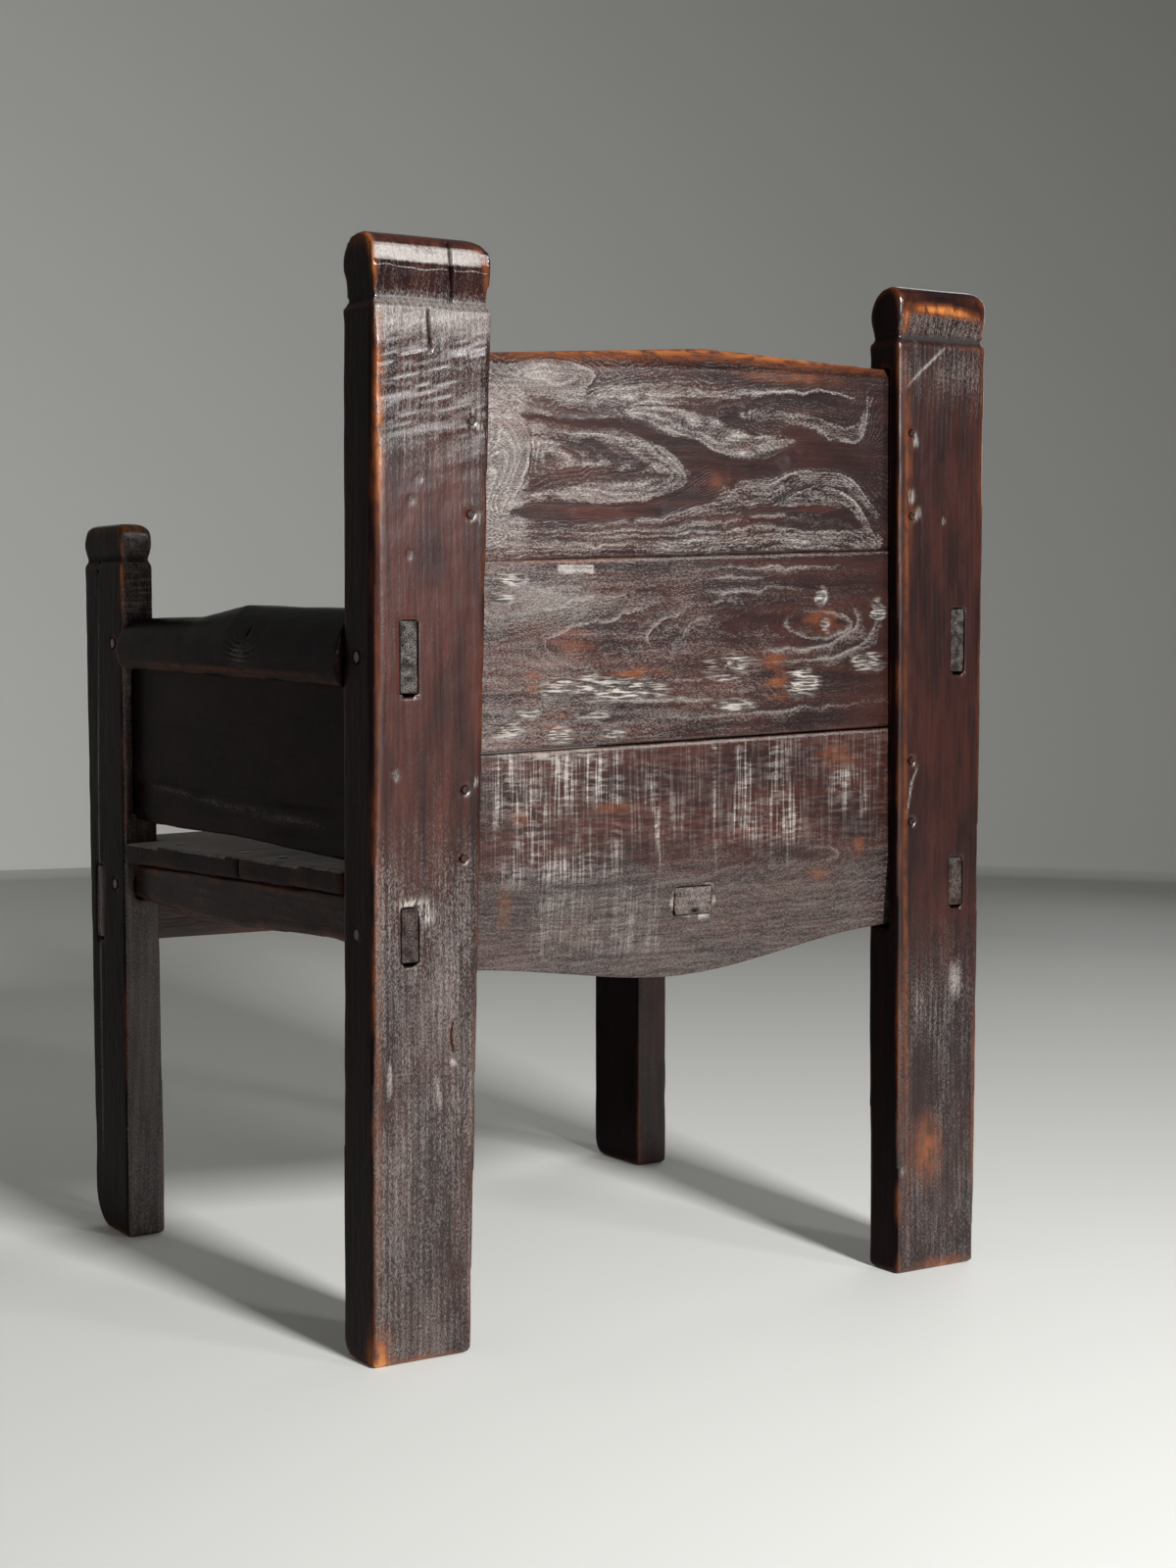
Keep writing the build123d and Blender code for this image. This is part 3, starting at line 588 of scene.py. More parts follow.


# ---- The pieces ----
# The crest board's broad bands: how pale each is, 0 for dark wood, and its middle line in mm on the rear
# face with half its width there, as (x, z, half). The pale is bloom and painted sheen on the grain
CREST_BANDS = (
    (0.55, [(140, 830, 7), (100, 834, 9), (60, 838, 8), (20, 843, 6), (-20, 843, 4), (-60, 846, 2)]),
    (0.5, [
        (205, 806, 5), (172, 803, 4), (140, 799, 3), (100, 798, 3), (80, 796, 4), (62, 792, 8),
        (45, 787, 12), (30, 778, 12), (16, 769, 7), (8, 764, 3),
    ]),
    (0.55, [
        (14, 762, 4), (35, 756, 8), (60, 750, 9.5), (100, 749, 8), (140, 747, 5), (170, 744, 3),
        (196, 738, 4),
    ]),
    (0.5, [(178, 790, 4), (160, 785, 12), (145, 780, 9), (130, 774, 3), (112, 773, 2), (92, 775, 2)]),
    (0.6, [
        (70, 823, 4), (45, 819, 9), (20, 816, 12), (0, 813, 12), (-20, 807, 14), (-40, 799, 13),
        (-60, 796, 11), (-80, 798, 9), (-100, 802, 5), (-114, 805, 2),
    ]),
    (0.4, [
        (-55, 824, 3), (-80, 827, 6), (-110, 826, 6), (-135, 822, 6), (-160, 815, 7), (-185, 813, 6),
        (-198, 824, 5), (-206, 846, 4),
    ]),
    (0.45, [
        (-38, 752, 6), (-60, 757, 6), (-85, 758, 8), (-105, 764, 8), (-130, 770, 6), (-160, 769, 6),
        (-185, 765, 6), (-200, 751, 5), (-214, 738, 4),
    ]),
    (0.5, [
        (-95, 742, 3), (-112, 748, 6), (-135, 752, 7), (-160, 752, 7), (-183, 746, 6), (-198, 734, 4),
        (-207, 721, 3),
    ]),
    (0.5, [(60, 700, 5), (0, 704, 6), (-60, 708, 8), (-120, 711, 9), (-180, 714, 9), (-214, 712, 8)]),
    (0.45, [(60, 727, 2), (20, 733, 5), (-20, 740, 5), (-60, 744, 3), (-90, 748, 2)]),
    (0.0, [
        (182, 814, 2), (150, 811, 2.5), (120, 809, 3), (100, 811, 4), (80, 812, 5), (62, 808, 6),
        (40, 800, 6), (20, 794, 8), (5, 788, 12), (-10, 780, 15), (-30, 772, 14), (-60, 774, 9),
        (-90, 779, 8), (-110, 788, 11), (-130, 794, 14), (-160, 793, 14), (-185, 791, 13), (-202, 790, 8),
    ]),
    (0.0, [
        (-30, 765, 8), (-15, 758, 14), (0, 750, 11), (20, 744, 9), (40, 738, 8), (60, 733, 7), (100, 731, 9),
        (140, 731, 9), (175, 731, 8), (192, 729, 3),
    ]),
    (0.1, [(140, 789, 3), (125, 790, 6), (110, 790, 7), (85, 786, 7), (68, 780, 5), (56, 774, 3)]),
    (0.1, [(180, 749, 2), (160, 756, 6), (140, 762, 7), (110, 766, 6), (85, 765, 5), (62, 766, 4)]),
    (0.0, [(-55, 736, 2), (-90, 737, 3), (-120, 740, 4), (-150, 740, 5), (-175, 736, 5), (-193, 727, 3)]),
    (0.1, [
        (60, 721, 1), (0, 727, 2), (-50, 732, 2), (-90, 728, 3), (-120, 727, 3.5), (-150, 726, 3.5),
        (-185, 727, 2),
    ]),
    (0.0, [(-100, 813, 2), (-118, 811, 7), (-136, 809, 5), (-152, 804, 4)]),
)
# Paths in mm on a board's rear face, as (x, z): the firm edges in its grain, and how wide each fades
CREST_GRAIN = (
    ([
        (204, 852), (190, 861), (160, 865), (125, 863), (105, 853), (112, 842), (140, 835), (175, 834),
        (198, 841), (204, 852),
    ], 6),
    ([(186, 851), (165, 857), (135, 857), (122, 850), (135, 843), (165, 841), (184, 845), (186, 851)], 4),
    ([(209, 855), (196, 835), (177, 822), (155, 815), (130, 813), (104, 815), (81, 817)], 3),
    ([
        (213, 826), (190, 812), (172, 804), (135, 801), (101, 800), (80, 799), (62, 800), (45, 794),
        (30, 784), (18, 773), (8, 764), (20, 757), (40, 747), (60, 741), (100, 741), (140, 743), (172, 741),
        (196, 732),
    ], 2),
    ([(144, 826), (107, 830), (70, 843), (35, 848), (5, 852)], 3),
    ([(84, 828), (52, 832), (8, 836)], 4),
    ([(-19, 838), (-62, 844), (-108, 850), (-156, 852), (-187, 849)], 2),
    ([
        (96, 826), (70, 816), (35, 806), (2, 801), (-10, 798), (-22, 789), (-40, 785), (-62, 784),
        (-90, 787), (-114, 797),
    ], 2),
    ([
        (-77, 823), (-102, 824), (-121, 820), (-137, 817), (-156, 809), (-185, 806), (-197, 815),
        (-203, 845),
    ], 2),
    ([
        (-37, 760), (-60, 762), (-77, 763), (-96, 768), (-115, 776), (-144, 776), (-182, 772), (-196, 760),
        (-216, 740),
    ], 2),
    ([(-102, 748), (-118, 756), (-134, 760), (-163, 760), (-184, 754), (-196, 742), (-212, 721)], 2),
    ([(190, 720), (116, 721), (70, 724), (40, 728), (17, 735), (-19, 744), (-50, 748)], 3),
    ([
        (191, 714), (116, 714), (46, 718), (-1, 725), (-62, 732), (-109, 736), (-141, 737), (-170, 737),
        (-190, 728), (-204, 716),
    ], 2),
    ([(193, 708), (116, 708), (28, 714), (-32, 720), (-93, 724), (-157, 722), (-189, 722), (-206, 716)], 2),
    ([(202, 700), (87, 702), (0, 709), (-60, 716)], 3),
    ([(210, 812), (192, 798), (186, 780), (192, 759), (208, 740)], 4),
    ([(199, 821), (181, 804), (176, 788), (177, 769), (185, 750), (202, 731)], 5),
)
MIDDLE_GRAIN = (
    ([
        (-216, 662), (-125, 666), (-32, 661), (28, 654), (101, 634), (160, 623), (158, 604), (115, 592),
        (58, 582),
    ], 3),
    ([(-62, 655), (-26, 653), (10, 645), (43, 633), (52, 621), (46, 608), (16, 596)], 4),
    ([(-26, 643), (-2, 635), (10, 626), (9, 616), (-2, 607)], 3),
    ([(-110, 643), (-154, 647), (-187, 638), (-184, 626), (-142, 618), (-103, 626), (-110, 643)], 3),
    ([(-72, 616), (-97, 608), (-132, 610), (-168, 618), (-197, 633), (-184, 654), (-148, 666)], 5),
    ([(-88, 598), (-132, 598), (-184, 608), (-217, 628), (-213, 649), (-190, 669)], 4),
    ([(210, 681), (116, 681), (-1, 684), (-125, 687), (-223, 688)], 3),
    ([(210, 639), (160, 646), (101, 656), (46, 666), (-16, 675), (-94, 678)], 3),
    ([(210, 567), (158, 566), (81, 565), (-2, 564), (-76, 563)], 3),
    ([(28, 582), (-17, 581), (-50, 582), (-75, 573)], 2),
    ([(210, 548), (144, 545), (58, 546), (-32, 549), (-126, 552), (-224, 561)], 4),
)
LOWER_GRAIN = (
    ([(217, 396), (152, 394), (94, 384), (34, 388), (-28, 392), (-72, 408)], 2),
    ([(-76, 409), (-95, 416), (-121, 417), (-129, 408), (-108, 398), (-85, 401), (-76, 409)], 2),
    ([(-121, 416), (-141, 423), (-167, 419), (-174, 411), (-154, 406), (-121, 409)], 2),
)

# The seams under the crest board and under the middle board, as (x, z)
UPPER_SEAM = ((262, 685), (0, 695.6), (-262, 706))
LOWER_SEAM = ((262, 518.7), (0, 527), (-262, 535.3))

# Where a blade scraped the lower board: left, right, top and bottom in mm, and how hard
SCRAPED = (
    (214, 123, 518, 456, 1.2),
    (118, 76, 519, 468, 0.9),
    (-48, -74, 526, 436, 0.75),
    (-84, -116, 525, 434, 0.8),
    (-125, -139, 524, 490, 0.6),
    (-155, -206, 495, 449, 0.75),
    (211, 79, 455, 403, 0.7),
    (-42, -126, 473, 429, 0.75),
    (70, 10, 505, 440, 0.4),
    (172, 30, 395, 335, 0.35),
)


def plank_rings(timber, across, spacing, seed, waver=0.8):
    """Growth rings as a plank's faces cut them: lines along the grain that drift a little."""
    drift = timber.noise(260, seed) + 0.3 * timber.noise(70, seed + 1)
    timber.marks["rings"] = (timber.first @ np.asarray(across)) / (spacing * MM) + waver * drift


def rounded(line):
    """A line with its corners cut, so that it bends smoothly; a closed line stays closed."""
    inner = np.concatenate([(0.75 * a + 0.25 * b, 0.25 * a + 0.75 * b) for a, b in zip(line, line[1:])])
    closed = np.allclose(line[0], line[-1])
    return np.vstack((inner, inner[:1])) if closed else np.vstack((line[:1], inner[1:-1], line[-1:]))


def board_figure(timber, lines, spacing, seed, strength):
    """Draws a board's grain: pale bands of bloom and painted sheen, with one firm and one fading side,
    standing a little proud, and growth rings that run beside them and close round the knots."""
    sway = 2.5 * timber.noise(18, seed) + 1.2 * timber.noise(7, seed + 1)
    face = timber.first[:, (X, Z)] + sway[:, None] * MM * np.asarray((0.4, 1))
    wide = 1 + 0.7 * timber.noise((34, 60, 20), seed + 3)
    bold = np.clip(0.8 + 0.7 * timber.noise((48, 60, 30), seed + 4), 0.25, 1.15)
    plain = 0.003
    height = plain * face[:, 1]
    weight = np.full(len(face), plain)
    for path, width in lines:
        line = rounded(np.asarray(path) * MM)
        distance, along = path_reach(face, line)
        fade = np.sin(np.pi * np.clip(along, 0.02, 0.98)) ** 0.4
        reach = np.where(distance > 0, 2.6 * wide, 0.3) * width * MM
        broad = np.clip(1.1 - np.abs(distance) / reach, 0, 1)
        edge = np.clip(1.2 - np.abs(distance) / (2 * MM), 0, 1)
        timber.paint(silver=strength * bold * fade * (0.75 * broad + 0.3 * edge))
        if path[0] != path[-1]:
            before = line[0] + 20 * (line[0] - line[1])
            after = line[-1] + 20 * (line[-1] - line[-2])
            line = np.vstack((before, line, after))
        share = fade * (1 + np.abs(distance) / (5 * MM)) ** -3.0
        height += share * (line[:, 1].mean() - path_reach(face, line)[0])
        weight += share
    drift = 5 * timber.noise((130, 200, 58), seed + 2)
    timber.marks["rings"] = (height / weight / MM + drift) / spacing
    timber.press(0.6 * MM * (1 - timber.marks["silver"]) * np.abs(timber.facing[:, Y]) ** 4)


def board_bands(timber, bands, seed):
    """Lays broad bands of pale and dark grain over a board, with ragged edges. The pale is bloom and
    painted sheen, dimmed towards the right as a painted falloff of the light.
    """
    sway = 1.6 * timber.noise(11, seed) + 0.9 * timber.noise(4, seed + 1)
    face = timber.first[:, (X, Z)] + sway[:, None] * MM * np.asarray((0.6, 1))
    cloudy = np.clip(0.85 + 0.45 * timber.noise((14, 60, 6), seed + 2), 0.4, 1.2)
    # painted falloff: the pale bands dim towards the right, as the light does
    painted_falloff = np.clip(0.85 + timber.first[:, X] / 0.9, 0.62, 1)
    for pale, points in bands:
        line = rounded(np.asarray(points, float) * MM)
        distance, along = path_reach(face, line[:, :2])
        steps = np.concatenate(([0], np.cumsum(np.linalg.norm(np.diff(line[:, :2], axis=0), axis=1))))
        half = np.interp(along, steps / steps[-1], line[:, 2])
        inside = np.clip((half - np.abs(distance)) / (1.8 * MM) + 0.5, 0, 1)
        silver = timber.marks["silver"]
        wanted = pale * cloudy * painted_falloff
        timber.marks["silver"] = silver + inside * (wanted - silver) * (1 if pale < 0.2 else silver < wanted)


def close_seam(board):
    """Lets a board's lower edge bed into the board below, so that no light shows between them."""
    depth = 0.8
    inside = np.abs(board.first[:, Y] - BOARD_MIDDLE * MM) < (BOARD_REAR - BOARD_MIDDLE) * MM
    board.move(-UP, depth * board.faces(-UP, 0.9) * inside)


def under_seam(seam):
    """The upper rear arris of the board below a seam."""
    return [(x, z - 3) for x, z in seam]


class CHAIR_OT_rear_posts(bpy.types.Operator):
    """Wears the two rear posts."""

    bl_idname = "chair.rear_posts"
    bl_label = "Rear posts"

    def execute(self, context):
        cell = context.scene.chair_timber.post_cell
        # a copy of the wood with weaker reflections for the sides: painted shade
        side_wood = waxed_wood("shaded_copy_wood_rear_post_sides", UP, 6.1, polish=0.03)
        self.left(cell, side_wood)
        self.right(cell, side_wood)
        return {"FINISHED"}

    def shaped(self, side, cell, fine, seed, arm_height, rail_height, shoulder_height):
        """A rear post, worn round except at its joints and shoulder, which points are on its rear face, and
        how near each point is to a joint."""
        post = Timber("rear_post_" + side, cell, fine)
        post.square("arm_" + side, hole=True)
        post.square("side_rail_" + side, hole=True)
        middle = 304.5 if side == "left" else -304.5
        arm = post.spot((middle, arm_height), (20, 30, 42))
        rail = post.spot((middle, rail_height), (20, 30, 34))
        joints = np.maximum(arm, rail)
        shoulder = post.between(Z, shoulder_height - 10, shoulder_height + 10, 6)
        post.hew(UP, seed, 0.5)
        post.soften(seed + 5, keep=np.clip(1.5 * joints + 0.9 * shoulder, 0, 1))
        plank_rings(post, (1, 0.6, 0), 6, seed)
        return post, post.faces(REAR, 0.7), joints

    def left(self, cell, side_wood):
        """The left post: wrinkled under its head, with a facet chopped across it, and bruised at the rail."""
        fine = (
            ((0.220, 0.30, 0.79), (0.336, 0.33, 0.97)),
            ((0.282, 0.31, 0.335), (0.325, 0.33, 0.402)),
            ((0.288, 0.31, 0.563), (0.321, 0.33, 0.644)),
            ((0.255, 0.31, 0.255), (0.272, 0.33, 0.295)),
        )
        post, rear, joints = self.shaped("left", cell, fine, 11, 603, 368, 900)
        post.chatter(rear * post.between(Z, 760, 888, 110), (60, 40, 10), 1.1, 13, 0.2)
        wrinkled = rear * post.between(Z, 780, 898, 110) * post.patches(30, 19, 0.6, 1.0)
        post.chatter(wrinkled, (18, 40, 3.6), 0.8, 20, 0.25)
        post.chatter(rear * post.between(Z, 60, 460, 80), (60, 40, 30), 0.6, 14, 0.2)
        post.chatter(rear, (9, 9, 14), 0.25, 15)
        # the facet runs out unevenly at its lower edge
        low_edge = (936 + 3 * post.noise((12, 50, 50), 22)) * MM
        run_out = 0.25 * np.clip(low_edge - post.co[:, Z], 0, None)
        post.pare(910, 951, plane=319.4, level=950, slope=0.07, extra=run_out)
        post.chatter(rear * post.between(Z, 926, 952, 6), (16, 30, 7), 0.4, 23)
        outer_arris = post.near([(342, 440), (339, 700), (339, 905)], 10)
        post.co = post.relaxed(0.9 * np.clip(1.5 * outer_arris, 0, 1), 22)
        split = [(262, 313, 956), (262, 321, 944), (262, 323, 930), (261, 322, 915), (261, 319, 904)]
        post.crack(REAR, split, 2.2, 7)
        post.crack(REAR, [(285, 897), (284, 880), (282, 862)], 2.0, 4)
        post.crack(REAR, [(263, 293), (265, 277), (262, 262)], 1.3, 3)
        post.dent(REAR, (300, 391), (15, 9, 9), 2.2, 0.3)
        post.dent(REAR, (287, 388), (7, 9, 10), 1.4, 0.3)
        torn = post.spot((304, 394), (18, 9, 7)) + post.spot((287, 386), (7, 9, 12))
        post.paint(chewed=rear * torn)
        nicks = [(x, z, 5, 5) for x, z in ((244, 812), (235, 800), (245, 735), (236, 722), (240, 497))]
        post.paint(chewed=0.6 * rear * post.spots(nicks, 9))
        dents = ((294, 755, 3), (302, 736, 3), (266, 363, 4), (251, 350, 4), (304, 690, 3), (318, 505, 5))
        for x, z, reach in dents:
            post.dent(REAR, (x, z), (reach, 9, 1.4 * reach), 1.0, 0.4)
        patchy = post.patches((30, 30, 80), 17)
        # The upper rear face is paler, partly bloom and partly painted sheen; the band just under the
        # shoulder is a painted highlight
        post.paint(silver=rear * (0.1 + 0.24 * patchy) * post.between(Z, 790, 905, 170))
        post.paint(silver=0.5 * rear * post.between(Z, 872, 905, 24))
        post.paint(silver=rear * (0.10 + 0.18 * patchy) * post.between(Z, -50, 440, 120))
        post.paint(silver=rear * 0.07 * patchy)
        # Painted light on the head's slopes that face up and back: a painted highlight along the shoulder,
        # painted sheen below the facet and a ragged painted highlight across the facet
        head = post.faces((0, 0.8, 0.5), 0.6)
        post.paint(silver=0.5 * post.between(Z, 899, 903.5, 2) * head)
        post.paint(silver=(0.05 + 0.08 * patchy) * post.between(Z, 906, 944, 4) * head)
        ragged = post.patches((14, 20, 7), 21, 0.75, 0.9)
        painted_highlight = post.between(Z, 935, 949, 2) * post.between(X, 232, 336, 6) * head
        post.paint(silver=(0.45 + 0.55 * ragged) * painted_highlight)
        scratches = post.strokes((0.9, 3, [(325, 265), (326, 228)]), (0.9, 3, [(280, 248), (276, 214)]))
        post.paint(silver=rear * scratches)
        post.paint(silver=0.9 * rear * post.spot((263, 256), 5))
        post.paint(sleek=post.between(Z, 905, 970, 6) + rear * post.between(Z, 800, 905, 80))
        # Heartwood shows most on the rear face and some on the front; the sides keep the near-black patina,
        # which partly paints the shade on them
        post.paint(glow=0.12 + 0.3 * post.faces(-REAR, 0.7))
        post.paint(glow=rear * (0.35 + 0.45 * post.between(Z, 430, 800, 120)))
        post.paint(glow=0.9 * post.between(Z, 948, 965, 6))
        post.note_wear(18, 0.3, np.maximum(joints, post.between(Z, 925, 945, 4)))
        upper = post.near([(334, 640), (333, 760), (332, 905)], 8) * post.between(Z, 720, 960, 100)
        post.paint(worn=0.8 * upper)
        rubbed = post.strokes(
            (0.3, 6, [(336, 0), (336, 300), (335, 720)]),
            (1.1, 9, [(339, 322, 903), (339, 322, 935), (339, 310, 958), (339, 292, 960)]),
            (0.4, 3, [(245, 324, 0), (230, 324, 600), (224, 324, 903)]),
            (0.5, 6, [(226, 322, 905), (228, 322, 940), (240, 318, 956)]),
        )
        post.paint(worn=rubbed)
        foot = 0.9 * post.spot((335, 318, 8), (14, 14, 34)) + 0.6 * post.spot((300, 322, 0), (60, 8, 8))
        post.paint(worn=foot)
        post.finish(waxed_wood("waxed_wood_rear_post_left", UP, 1.3), "rear_posts", side_wood)

    def right(self, cell, side_wood):
        """The right post: smoother, with a rubbed inner arris and a rubbed edge across its head."""
        fine = (
            ((-0.321, 0.31, 0.350), (-0.288, 0.33, 0.414)),
            ((-0.321, 0.31, 0.578), (-0.288, 0.33, 0.658)),
        )
        post, rear, joints = self.shaped("right", cell, fine, 31, 617, 382, 903)
        post.chatter(rear, (40, 40, 50), 0.5, 34)
        post.chatter(rear, (9, 9, 14), 0.25, 35)
        for x, z, reach in ((-249, 807, 3), (-244, 755, 4), (-253, 740, 3), (-285, 733, 2), (-241, 102, 3)):
            post.dent(REAR, (x, z), (reach, 9, 1.8 * reach), 1.2, 0.7)
            post.paint(chewed=rear * post.spot((x, z), (reach, 9, 1.8 * reach)))
        patchy = post.patches((24, 24, 90), 37)
        post.paint(silver=rear * (0.04 + 0.18 * patchy) * post.between(Z, 840, 905, 60))
        post.paint(silver=rear * 0.22 * patchy * post.between(Z, -50, 330, 120))
        scratches = post.strokes(
            (0.7, 2.5, [(-236, 857), (-254, 874), (-288, 901)]),
            (0.6, 2, [(-256, 499), (-247, 479), (-241, 446)]),
        )
        post.paint(silver=rear * scratches)
        post.paint(silver=0.6 * rear * post.spot((-305, 284), (12, 9, 26)))
        post.paint(silver=0.2 * post.between(Z, 908, 930, 5) * post.faces((0, 0.8, 0.5), 0.6))
        post.paint(sleek=post.between(Z, 908, 970, 6))
        # Heartwood shows most on the rear face and some on the front; the sides keep the near-black patina,
        # which partly paints the shade on them
        post.paint(glow=0.12 + 0.3 * post.faces(-REAR, 0.7))
        post.paint(glow=rear * (0.28 + 0.2 * post.between(Z, 300, 890, 100)))
        post.note_wear(38, 0.3, joints)
        rubbed = post.strokes(
            (0.4, 5, [(-247, 324, 0), (-240, 324, 400), (-238, 324, 700)]),
            (0.55, 4, [(-240, 324, 600), (-238, 324, 760), (-236, 324, 906)]),
            (0.9, 7, [(-236, 322, 906), (-238, 320, 935), (-248, 312, 948)]),
            (1.0, 8, [(-240, 322, 934), (-290, 322, 934), (-330, 322, 930)]),
            (0.7, 9, [(-333, 324, 60), (-334, 324, 160), (-334, 324, 270)]),
            (0.5, 4, [(-334, 324, 200), (-335, 324, 500), (-336, 324, 906)]),
        )
        post.paint(worn=rubbed)
        post.paint(worn=0.25 * rear * post.near([(-243, 690), (-242, 780), (-241, 890)], 7))
        post.paint(worn=0.5 * rear * post.spot((-270, 120), (26, 9, 45)))
        post.paint(worn=0.6 * post.spot((-290, 0), (50, 12, 14)))
        post.finish(waxed_wood("waxed_wood_rear_post_right", UP, 4.7), "rear_posts", side_wood)


class CHAIR_OT_front_posts(bpy.types.Operator):
    """Wears the two front posts."""

    bl_idname = "chair.front_posts"
    bl_label = "Front posts"

    def execute(self, context):
        cell = context.scene.chair_timber.cell
        wood = waxed_wood("waxed_wood_front_posts", UP, 3.1)
        # a copy of the wood with weaker reflections for the sides: painted shade
        side_wood = waxed_wood("shaded_copy_wood_front_post_sides", UP, 3.7, polish=0.02)
        for seed, node, side in ((51, "front_post_left", 1), (71, "front_post_right", -1)):
            post = Timber(node, cell, rear=FRONT_POST_REAR)
            rear = post.faces(REAR, 0.7)
            outer = post.faces((side, 0, 0), 0.7)
            face = side * 338
            joints = post.spot((face, -289, 344), (30, 14, 50))
            post.hew(UP, seed, 0.8)
            post.soften(seed + 5, keep=joints)
            post.chatter(rear * post.between(Z, 610, 705, 40), (40, 40, 8), 0.9, seed + 2)
            post.chatter(rear + outer, (9, 9, 14), 0.25, seed + 3)
            # the rim of the head is worn back
            post.pare(716, 732, plane=FRONT_POST_REAR - 0.4, level=722, slope=0.115)
            post.crack((side, 0, 0), [(face, -283, 701), (face, -283, 696), (face, -283, 688)], 3, 4)
            plank_rings(post, (0.6, 1, 0), 6, seed)
            patchy = post.patches((26, 26, 90), seed + 6)
            post.paint(silver=rear * (0.12 + 0.22 * patchy) * (1 if side > 0 else 0.3))
            post.paint(scored=rear * 0.7 * post.between(Z, 560, 705, 60))
            # A thin pale line down the outer face is a painted highlight along the grain
            line = post.near([(face, -283, 690), (face, -290, 467), (face, -288, 40)], 3)
            post.paint(silver=0.5 * outer * line)
            # A pale patch on the head's rear face is a painted highlight
            head = post.spot((side * 322, 718), (20, 14, 16))
            post.paint(silver=0.7 * head * post.patches(9, seed + 9, 0.6, 0.9))
            post.paint(sleek=rear * post.between(Z, 600, 740, 60))
            # Heartwood shows most on the rear face and some on the front; the sides keep the near-black
            # patina, which partly paints the shade on them
            post.paint(glow=0.08 + 0.44 * post.faces(-REAR, 0.7) + (0.24 if side > 0 else 0.6) * rear)
            post.note_wear(seed + 7, 0.25, joints)
            post.paint(worn=0.9 * post.spot((side * 325, 732), (24, 18, 10)))
            post.paint(worn=0.8 * post.near([(side * 337, -223, 640), (side * 337, -223, 735)], 6))
            post.finish(wood, "front_posts", side_wood)
        return {"FINISHED"}


